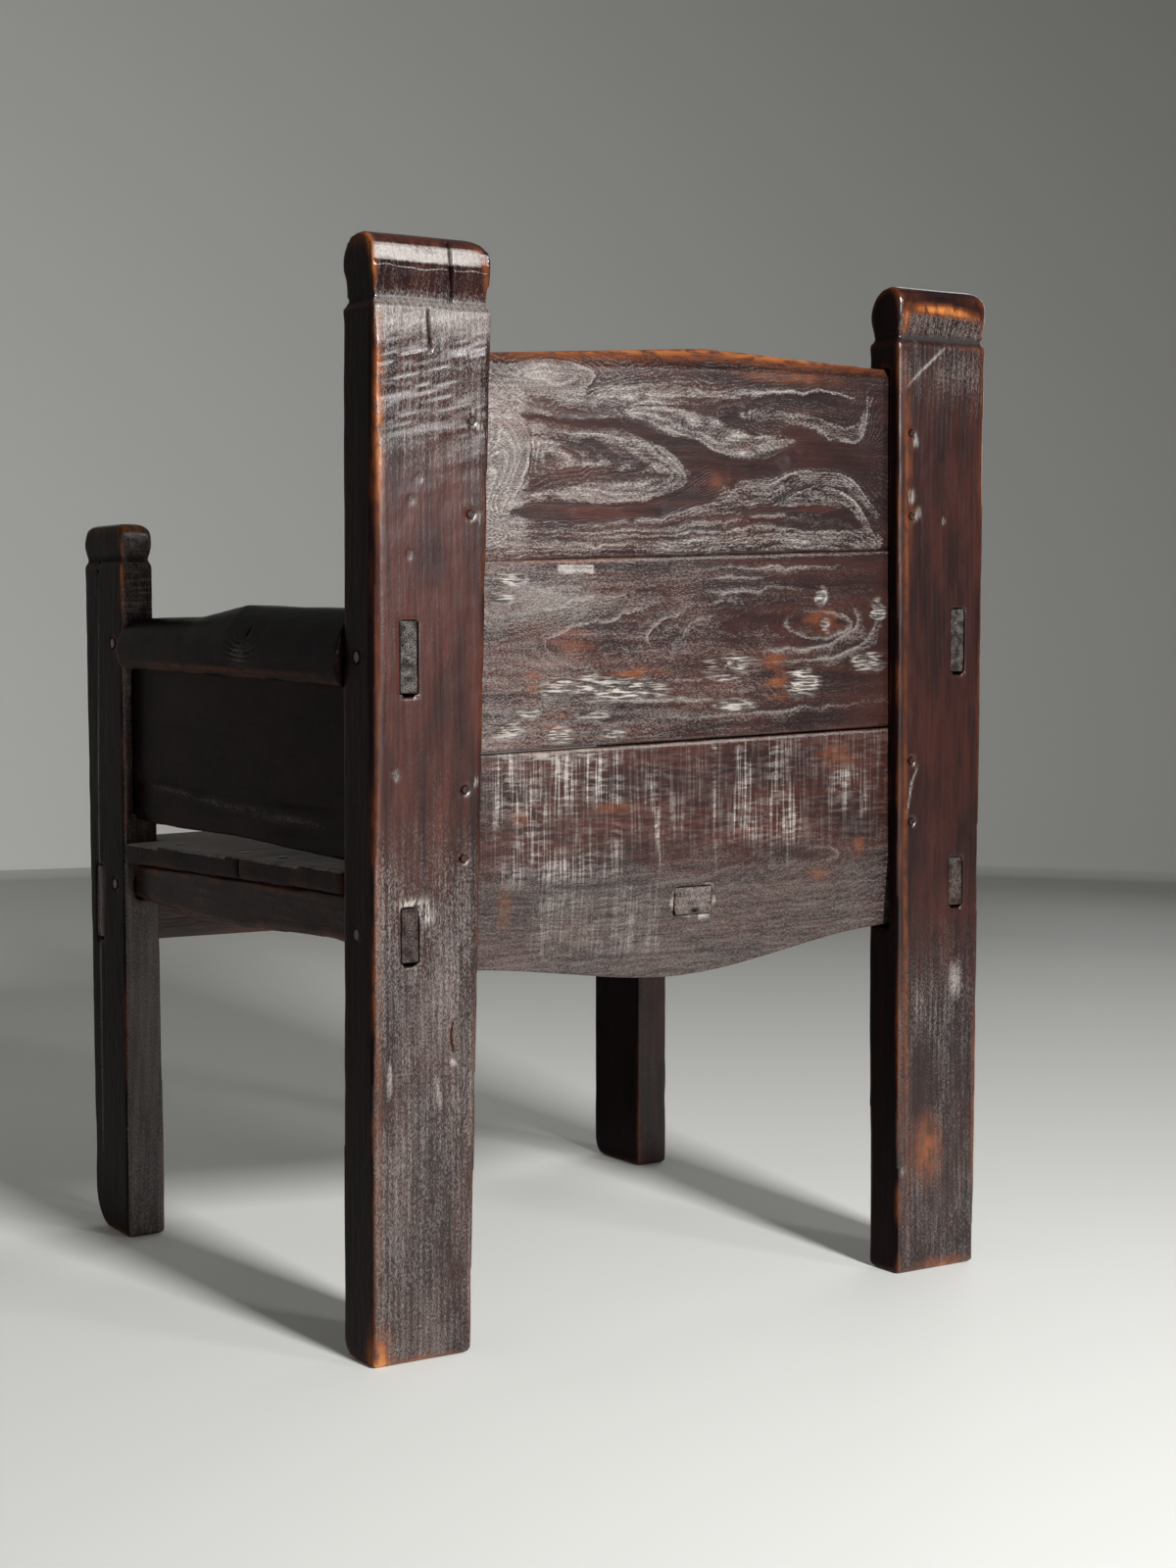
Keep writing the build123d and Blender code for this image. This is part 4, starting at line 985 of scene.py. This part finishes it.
class CHAIR_OT_back_boards(bpy.types.Operator):
    """Wears the three boards of the back."""

    bl_idname = "chair.back_boards"
    bl_label = "Back boards"

    def execute(self, context):
        cell = context.scene.chair_timber.board_cell
        self.crest(cell)
        self.middle(cell)
        self.lower(cell)
        return {"FINISHED"}

    def shaped(self, node, cell, seed, rounds, lines, spacing, strength):
        """One of the two upper boards, with its grain drawn and its lower edge bedded in, and how far to the
        left each point is, 0 to 1."""
        board = Timber(node, cell, rear=BOARD_REAR)
        board.hew(LEFT, seed, np.abs(board.facing[:, Y]) ** 4)
        board.soften(seed + 5, rounds)
        board_figure(board, lines, spacing, seed + 6, strength)
        close_seam(board)
        return board, np.clip(0.5 + board.first[:, X] / 0.5, 0, 1)

    def crest(self, cell):
        """The top board: bold bands of grain, and an upper arris rubbed away."""
        board, to_left = self.shaped("crest_board", cell, 91, 8, CREST_GRAIN, 4.6, 0.65)
        patchy = board.patches((60, 40, 25), 98)
        # Bloom, partly painted sheen, fades towards the right: a painted falloff of the light
        board.paint(silver=(0.14 + 0.16 * patchy) * (0.15 + 0.85 * to_left))
        board.paint(silver=0.8 * board.spot((165, 848), (48, 60, 22)))
        board.paint(silver=0.55 * board.between(X, 176, 240, 14) * board.between(Z, 690, 850, 40))
        board_bands(board, CREST_BANDS, 101)
        # The heartwood fades towards the right as well: painted falloff of the light
        board.paint(glow=(0.45 + 0.3 * patchy) * (0.45 + 0.55 * to_left))
        thin = ((-25, 764, 30, 18), (-59, 795, 20, 10), (110, 731, 90, 12), (-141, 740, 50, 8))
        board.paint(glow=board.spots(thin, 60))
        board.note_wear(99, 0.15)
        board.paint(soot=board.near(UPPER_SEAM, 2.2))
        board.paint(worn=0.2 * board.spot((-25, 762), (11, 60, 11)))
        heights = ((262, 864), (120, 876), (-24, 886), (-140, 881), (-262, 877))
        top = [(x, BOARD_MIDDLE, z) for x, z in heights]
        board.paint(worn=0.8 * board.near(top, 17) * board.faces((0, 0.5, 0.8), 0.45))
        board.paint(worn=0.35 * board.spot((-110, 862), (90, 30, 9)))
        bloom_and_sheen = {"figure": 0.1, "veil": 0.12, "coarse": 1.1, "lined": 0.25}
        board.finish(waxed_wood("waxed_wood_crest_board", LEFT, 9.1, **bloom_and_sheen), "back_boards")

    def middle(self, cell):
        """The middle board: smooth, with torn patches and red-brown ones."""
        board, to_left = self.shaped("middle_back_board", cell, 111, 5, MIDDLE_GRAIN, 9, 0.42)
        patchy = board.patches((50, 40, 22), 118)
        # Bloom, partly painted sheen, fades towards the right: a painted falloff of the light
        board.paint(silver=(0.17 + 0.18 * patchy) * (0.1 + 0.9 * to_left))
        board.paint(silver=0.42 * board.spot((150, 655), (110, 12, 34)))
        torn = (
            (-44, 593, 34, 15), (120, 576, 46, 16), (66, 572, 40, 12), (196, 672, 18, 9),
            (204, 655, 14, 6), (177, 555, 16, 6), (144, 535, 18, 9), (107, 552, 22, 5),
            (87, 535, 15, 6), (-148, 661, 8, 12), (-217, 644, 10, 16), (-207, 597, 22, 10),
            (-126, 578, 22, 16), (-154, 631, 7, 8), (-48, 558, 26, 6), (200, 540, 20, 10),
        )
        strokes = 1.3 + 1.3 * board.noise((16, 9, 6), 120)
        chewed = np.clip(1.5 * board.spots(torn, 12) * strokes - 0.2, 0, 1)
        board.chatter(chewed * board.faces(REAR), (20, 8, 4), 2.2, 121)
        board.paint(chewed=chewed, silver=0.25 * chewed)
        sliver = board.between(X, 108, 146, 3) * board.between(Z, 677, 685, 2) * board.faces(REAR)
        board.paint(silver=sliver * board.patches((9, 9, 2), 122, 0.75, 0.5))
        # The heartwood fades towards the right as well: painted falloff of the light
        board.paint(glow=(0.55 + 0.3 * patchy) * (0.5 + 0.5 * to_left))
        board.note_wear(119, 0.15)
        board.paint(soot=board.near(LOWER_SEAM, 2.6))
        board.paint(silver=0.5 * board.near(under_seam(UPPER_SEAM), 2.4))
        broken = board.patches((22, 12, 4), 123, 0.6, 1.1, 1.2)
        red = (
            (172, 578, 16.8, 15.6), (146, 545, 24, 12), (-94, 586, 21.6, 33.6),
            (58, 588, 40.8, 8.4), (-154, 636, 31.2, 14.4),
        )
        board.paint(worn=0.5 * broken * board.spots(red, 12))
        board.paint(worn=0.3 * broken * board.spot((130, 615), (44, 12, 22)))
        board.paint(worn=0.35 * board.near([(215, 686), (120, 689), (40, 692)], 4))
        bloom_and_sheen = {"figure": 0.035, "veil": 0.1, "coarse": 0.7, "lined": 0.08}
        board.finish(waxed_wood("waxed_wood_middle_board", LEFT, 11.3, **bloom_and_sheen), "back_boards")

    def lower(self, cell):
        """The lower board: scraped down its upper half, with a ragged rim round the bearer's tenon."""
        fine = (((-0.035, 0.29, 0.355), (0.028, 0.32, 0.402)),)
        board = Timber("lower_back_board", cell, fine, BOARD_REAR)
        joint = board.spot((-3, 379), (50, 30, 40))
        board.hew(LEFT, 131, np.abs(board.facing[:, Y]) ** 4)
        board.soften(136, 5, keep=np.clip(1.5 * joint, 0, 1))
        board_figure(board, LOWER_GRAIN, 7, 137, 0.3)
        patchy = board.patches((60, 40, 30), 138)
        upper = board.between(Z, 425, 540, 30)
        uneven = board.patches((9, 200, 50), 139, 0.75, 0.9)
        board.paint(scored=0.2 * upper)
        for left, right, high, low, amount in SCRAPED:
            area = board.between(X, right, left, 8) * board.between(Z, low, high, 14)
            board.paint(scored=1.2 * amount * area * uneven)
        for top, bottom in ((51, 34), (42, 36), (-23, -28), (-88, -92), (-114, -110)):
            board.paint(scored=board.near([(top, 519), (bottom, 405)], 3, through=True))
        board.chatter(upper * board.faces(REAR), (8, 40, 60), 0.5, 141)
        torn = board.near([(218, 517), (150, 516), (90, 520)], 7) + board.near([(-20, 521), (-30, 516)], 3)
        board.paint(chewed=0.8 * torn * board.patches(12, 144, 0.5, 1.0))
        board.paint(silver=0.02 + 0.17 * board.between(Z, 280, 425, 60) * (0.8 + 0.2 * patchy))
        to_left = np.clip((board.first[:, X] / MM - 60) / 150, 0, 1)
        board.paint(silver=0.12 * board.between(Z, 440, 530, 40) * to_left)
        board.square("seat_bearer", hole=True)
        lips = [(10, 394), (19, 392), (20, 376), (17, 366), (-4, 363)]
        lips += [(-22, 364), (-27, 378), (-25, 391), (-12, 394)]
        ragged = board.patches(7, 143, 0.6, 1.2)
        board.paint(silver=ragged * board.near(lips, 5, through=True) * board.faces(REAR, 0.3))
        board.paint(glow=0.25 + 0.25 * patchy + 0.2 * upper)
        board.note_wear(142, 0.15, np.clip(1.5 * joint, 0, 1))
        board.paint(silver=0.55 * board.near(under_seam(LOWER_SEAM), 2.6))
        red = (
            (88, 468, 40, 6), (-167, 508, 34, 16), (-148, 396, 18, 9),
            (-196, 420, 9, 14), (200, 380, 12, 30), (186, 462, 14, 10),
        )
        board.paint(worn=0.32 * board.spots(red, 12))
        bloom_and_sheen = {"figure": 0.025, "veil": 0.08, "coarse": 0.5, "lined": 0.04}
        board.finish(waxed_wood("waxed_wood_lower_board", LEFT, 13.9, **bloom_and_sheen), "back_boards")


class CHAIR_OT_arms(bpy.types.Operator):
    """Wears the two half-log arms."""

    bl_idname = "chair.arms"
    bl_label = "Arms"

    def execute(self, context):
        cell = context.scene.chair_timber.cell
        wood = waxed_wood("waxed_wood_arms", REAR, 5.3, polish=0.025)
        for seed, node, side in ((151, "arm_left", 1), (171, "arm_right", -1)):
            fine = (
                ((side * 0.304 - 0.012, 0.31, 0.56), (side * 0.304 + 0.012, 0.33, 0.66)),
                ((side * 0.336 - 0.014, 0.02, 0.586), (side * 0.336 + 0.014, 0.125, 0.628)),
            )
            arm = Timber(node, cell, fine)
            arm.square(node)
            tenon = arm.between(Y, 262, 340, 8)
            outer = arm.faces((side, 0, 0), 0.2)
            arm.hew(REAR, seed, 1.6)
            arm.soften(seed + 5, 9, keep=tenon)
            face = side * 346
            knot = arm.spot((face, 73, 606), (26, 34, 15))
            split = [(side * 330, 99, 652), (side * 342, 92, 636), (face, 86, 622)]
            arm.crack((side, 0, 0.5), split, 4, 3)
            plank_rings(arm, (0.5, 0, 1), 7, seed)
            # round the knot the rings close, and stand proud
            away = np.linalg.norm((arm.first - arm.placed((face, 80, 626))) / (1, 2.6, 1), axis=1)
            arm.marks["rings"] = np.where(knot > 0.3, away / (4 * MM), arm.marks["rings"])
            arm.press(1.3 * MM * np.clip(1.6 * knot, 0, 1) * (0.5 + 0.5 * np.sin(away / (0.75 * MM))))
            patchy = arm.patches((30, 90, 30), seed + 6)
            arm.paint(silver=0.01 * patchy, glow=0.03 + 0.06 * patchy)
            arm.paint(silver=0.25 * knot * outer)
            arm.note_wear(seed + 7, 0.3, tenon)
            # The lower outer arris is partly rubbed and partly a painted highlight, where it catches light
            # from the floor
            lower_arris = [(side * 345, -224, 596), (side * 345, 20, 590), (side * 345, 270, 586)]
            arm.paint(worn=0.35 * arm.near(lower_arris, 5))
            end = arm.between(Y, 312, 340, 4) * arm.faces(REAR, 0.5)
            arm.paint(cut=(0.85 if side > 0 else 0.6) * end)
            arm.chatter(end, (16, 9, 3), 1.3, seed + 8)
            arm.finish(wood, "arms")
        return {"FINISHED"}


class CHAIR_OT_side_panels(bpy.types.Operator):
    """Wears the two thin panels under the arms."""

    bl_idname = "chair.side_panels"
    bl_label = "Side panels"

    def execute(self, context):
        cell = context.scene.chair_timber.cell
        wood = waxed_wood("waxed_wood_side_panels", REAR, 7.7, polish=0.02)
        for seed, node in ((191, "side_panel_left"), (211, "side_panel_right")):
            panel = Timber(node, cell)
            waney = panel.between(Z, 400, 476, 10)
            panel.hew(REAR, seed)
            panel.chatter(waney, (30, 70, 12), 1.8, seed + 2)
            # the lower edge drops towards the front
            start, run, drop = 50, 220, 8
            lower_front = panel.faces(-UP, 0.5) * np.clip((start - panel.first[:, Y] / MM) / run, 0, 1)
            panel.move(-UP, drop * lower_front)
            panel.soften(seed + 5, 5)
            plank_rings(panel, (0, 0, 1), 12, seed, 2)
            patchy = panel.patches((30, 120, 40), seed + 6)
            face = 326 * np.sign(panel.first[:, X].mean())
            edge = ((-215, 478), (-189, 472), (-69, 464), (85, 457), (232, 455))
            panel.paint(silver=0.2 * panel.near([(face, y, z) for y, z in edge], 7))
            panel.paint(glow=0.05 + 0.12 * patchy)
            panel.note_wear(seed + 7, 0.08)
            panel.finish(wood, "side_panels")
        return {"FINISHED"}


class CHAIR_OT_rails(bpy.types.Operator):
    """Wears the rails and the bearer under the seat."""

    bl_idname = "chair.rails"
    bl_label = "Rails and bearer"

    def execute(self, context):
        cell = context.scene.chair_timber.hidden_cell
        side_wood = waxed_wood("waxed_wood_side_rails", REAR, 9.1, polish=0.06)
        front_wood = waxed_wood("waxed_wood_front_rail", LEFT, 9.7)
        for seed, node, grain, wood in (
            (231, "side_rail_left", REAR, side_wood),
            (251, "side_rail_right", REAR, side_wood),
            (271, "seat_bearer", REAR, side_wood),
            (291, "front_rail", LEFT, front_wood),
        ):
            across = grain is LEFT
            low, high = tenon_end(node)
            around = np.asarray((3, 6, 3)) * MM
            rail = Timber(node, cell, () if across else ((low - around, high + around),))
            if not across:
                rail.square(node)
            tenon = rail.between(Y, 285, 340, 10)
            end = rail.faces(REAR)
            if across:
                # its two ends are in the front posts
                tenon = rail.between(X, -400, -327, 10) + rail.between(X, 327, 400, 10)
                end = rail.faces(LEFT) | rail.faces(-LEFT)
            rail.hew(grain, seed)
            rail.soften(seed + 5, 4, keep=tenon)
            plank_rings(rail, (0, 0, 1), 8, seed)
            patchy = rail.patches(60, seed + 6)
            # The front rail is laid red-brown all over, with orange on its rear face: painted light standing
            # for a lit patch and a highlight there
            if across:
                rail.paint(worn=0.3 * patchy * rail.faces(REAR), glow=0.8 + 0.2 * patchy)
            else:
                rail.paint(silver=0.1 * patchy, glow=0.15 + 0.2 * patchy)
            rail.note_wear(seed + 7, 0.3, tenon)
            ends = tenon * end
            if node == "seat_bearer":
                rail.crack(REAR, [(-11, 304, 369), (-6, 304, 369), (-1, 304, 370)], 3, 3)
                rail.paint(silver=0.33 * ends, glow=0.3 * ends)
            else:
                rail.paint(cut=0.38 * ends)
            rail.finish(wood, "rails")
        return {"FINISHED"}


class CHAIR_OT_seat_boards(bpy.types.Operator):
    """Wears the two boards of the seat."""

    bl_idname = "chair.seat_boards"
    bl_label = "Seat boards"

    def execute(self, context):
        cell = context.scene.chair_timber.hidden_cell
        wood = waxed_wood("waxed_wood_seat_boards", LEFT, 12.9, polish=0.1, dull=0.3)
        for seed, node in ((311, "seat_board_front"), (331, "seat_board_rear")):
            board = Timber(node, cell)
            board.hew(LEFT, seed, 1.5)
            board.soften(seed + 5, 5)
            board.chatter(board.faces(UP), (110, 17, 20), 1.0, seed + 8)
            plank_rings(board, (0, 1, 0.4), 11, seed, 2)
            patchy = board.patches((110, 30, 30), seed + 6)
            # Painted reflection: the pale streaks on the seat's top, strongest towards the left
            reflection_streaks = 0.4 * board.noise((90, 4, 30), seed + 9)
            to_left = np.clip(0.15 + board.first[:, X] / 0.3, 0, 1.2)
            bloom_and_sheen = np.clip(0.5 * patchy + to_left * (0.6 + 1.4 * reflection_streaks), 0, 1)
            board.paint(silver=bloom_and_sheen * board.faces(UP))
            board.paint(glow=0.15 + 0.2 * board.faces(UP) * (1 - patchy))
            board.note_wear(seed + 7, 0.12)
            board.finish(wood, "seat")
        return {"FINISHED"}


class CHAIR_OT_pegs(bpy.types.Operator):
    """Finishes the pegs and pins, whose shapes stay as they are."""

    bl_idname = "chair.pegs"
    bl_label = "Pegs and pins"

    def execute(self, context):
        wood = waxed_wood("waxed_wood_pegs", UP, 15.5, least_glow=0.35, least_silver=0.1)
        for node in ("arm_pegs", "side_rail_pegs", "front_rail_pegs", "seat_pegs", "back_pins"):
            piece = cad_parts[node]
            piece.data.materials.clear()
            piece.data.materials.append(wood)
        return {"FINISHED"}


class CHAIR_OT_stage(bpy.types.Operator):
    """Makes the floor, the wall, the lamps and the camera."""

    bl_idname = "chair.stage"
    bl_label = "Stage"

    def execute(self, context):
        stage = context.scene.chair_stage
        self.room(stage)
        self.lamps(stage)
        self.camera(stage)
        return {"FINISHED"}

    def room(self, stage):
        """A round floor whose rim sweeps up into the wall, so that every view has the same plain ground."""
        form = bmesh.new()
        sweep = 0.05
        height = 4.0
        profile = [(0, 0), (stage.wall_distance - sweep, 0)]
        profile += [
            (stage.wall_distance - sweep + sweep * math.sin(a), sweep - sweep * math.cos(a))
            for a in (math.radians(d) for d in (30, 60, 90))
        ]
        profile.append((stage.wall_distance, height))
        points = [form.verts.new((x, 0, z)) for x, z in profile]
        line = [form.edges.new(pair) for pair in zip(points, points[1:])]
        bmesh.ops.spin(
            form,
            geom=points + line,
            cent=(0, 0, 0),
            axis=UP,
            angle=math.tau,
            steps=96,
            use_merge=True,
        )
        bmesh.ops.remove_doubles(form, verts=form.verts, dist=MM)
        for face in form.faces:
            face.smooth = True
            face.material_index = int(face.calc_center_median().z > 0.5 * sweep)
            if face.normal.dot(UP - face.calc_center_median() * 0.1) < 0:
                face.normal_flip()
        mesh = bpy.data.meshes.new("room")
        form.to_mesh(mesh)
        form.free()
        mesh.materials.append(self.painted_floor(stage))
        mesh.materials.append(self.painted_wall(stage))
        room = new_object("room", mesh)

    def painted_floor(self, stage):
        """Satin floor paint: pale, with faint soft reflections."""
        material, tree = new_material("satin_floor_paint")
        place = add(tree, "TexCoord").outputs["Object"]
        uneven = add(tree, "TexNoise", {"Vector": place, "Scale": 3.0, "Detail": 3}).outputs[0]
        rough = add(tree, "MapRange", {0: uneven, 3: 0.55, 4: 0.65}).outputs[0]
        paint = self.shaded(tree, place, (-0.9, -0.44, 0), (0.3, 2.7), (stage.floor, stage.far_floor))
        surface = {"Base Color": paint, "Roughness": rough, "Specular IOR Level": 0.1}
        shader = add(tree, "BsdfPrincipled", surface)
        add(tree, "OutputMaterial", {"Surface": shader.outputs[0]})
        return material

    def shaded(self, tree, place, direction, reach, colours):
        """Paint that goes from one colour to another along a direction, as where a lamp's light falls off."""
        side = add(tree, "VectorMath", {0: place, 1: direction}, operation="DOT_PRODUCT").outputs["Value"]
        share = add(tree, "MapRange", {0: side, 1: reach[0], 2: reach[1]}).outputs[0]
        near, far = map(linear, colours)
        return add(tree, "Mix", {0: share, 6: near, 7: far}, data_type="RGBA").outputs[2]

    def painted_wall(self, stage):
        """Matt wall paint, a little greyer towards one side, as where a lamp falls off."""
        material, tree = new_material("matt_wall_paint")
        place = add(tree, "TexCoord").outputs["Object"]
        paint = self.shaded(tree, place, (0.84, -0.54, -0.55), (-3.8, 2.3), (stage.far_wall, stage.wall))
        shader = add(tree, "BsdfPrincipled", {"Base Color": paint, "Roughness": 0.9})
        add(tree, "OutputMaterial", {"Surface": shader.outputs[0]})
        return material

    def lamps(self, stage):
        """Faint light from all round, and three square lamps that look at the middle of the chair."""
        world = bpy.data.worlds.new("plain_light")
        world.use_nodes = True
        sky = world.node_tree.nodes["Background"]
        sky.inputs["Color"].default_value = (1, 1, 1, 1)
        sky.inputs["Strength"].default_value = stage.world_level
        bpy.context.scene.world = world
        target = Vector((0, 0, 0.45))
        # each lamp's power, the side of its square and its place in m
        for name, watts, size, place in (
            ("key_lamp", stage.key_power, 0.5, (0.05, 3.65, 1.93)),
            ("softbox", stage.softbox_power, 0.42, (-1.35, 3.4, 1.75)),
            ("fill_lamp", stage.fill_power, 2.4, (-3.2, -1.4, 1.6)),
        ):
            lamp = bpy.data.lights.new(name, "AREA")
            lamp.shape = "SQUARE"
            lamp.size = size
            lamp.energy = watts
            lamp.spread = math.radians(110)
            holder = new_object(name, lamp)
            holder.location = place
            holder.rotation_euler = (target - Vector(place)).to_track_quat("-Z", "Y").to_euler()
            holder.visible_camera = False

    def camera(self, stage):
        """The eye stands behind the chair, at the sitter's left, a little lower than the arms' tops."""
        turn = math.radians(32.94)
        tilt = math.radians(3.48)
        picture_height = 1600
        focal_pixels = 2536.85
        eye = bpy.data.cameras.new("eye")
        eye.sensor_width = 36.0
        eye.lens = focal_pixels * eye.sensor_width / picture_height
        holder = new_object("eye", eye)
        holder.location = (1.3181, 2.1638, stage.eye)
        look = Vector((-math.sin(turn) * math.cos(tilt), -math.cos(turn) * math.cos(tilt), -math.sin(tilt)))
        holder.rotation_euler = look.to_track_quat("-Z", "Y").to_euler()
        bpy.context.scene.camera = holder
        bpy.context.scene.view_settings.view_transform = "Standard"


class CHAIR_PT_panel(bpy.types.Panel):
    """Lists the chair's sizes, colours and steps."""

    bl_label = "Wainscot chair"
    bl_idname = "CHAIR_PT_panel"
    bl_space_type = "VIEW_3D"
    bl_region_type = "UI"
    bl_category = "Chair"

    def draw(self, context):
        for group in (context.scene.chair_timber, context.scene.chair_finish, context.scene.chair_stage):
            box = self.layout.box()
            for name in group.__annotations__:
                box.prop(group, name)
        for operator in OPERATORS:
            self.layout.operator(operator.bl_idname)


OPERATORS = (
    CHAIR_OT_stage,
    CHAIR_OT_rear_posts,
    CHAIR_OT_front_posts,
    CHAIR_OT_back_boards,
    CHAIR_OT_arms,
    CHAIR_OT_side_panels,
    CHAIR_OT_rails,
    CHAIR_OT_seat_boards,
    CHAIR_OT_pegs,
)
GROUPS = {"chair_timber": ChairTimber, "chair_finish": ChairFinish, "chair_stage": ChairStage}


def register():
    for name, group in GROUPS.items():
        bpy.utils.register_class(group)
        setattr(bpy.types.Scene, name, PointerProperty(type=group))
    for cls in (*OPERATORS, CHAIR_PT_panel):
        bpy.utils.register_class(cls)


def unregister():
    for cls in (CHAIR_PT_panel, *reversed(OPERATORS)):
        bpy.utils.unregister_class(cls)
    for name, group in GROUPS.items():
        delattr(bpy.types.Scene, name)
        bpy.utils.unregister_class(group)


def main():
    register()
    for operator in OPERATORS:
        getattr(bpy.ops.chair, operator.bl_idname.split(".")[1])()


if __name__ == "__main__":
    main()
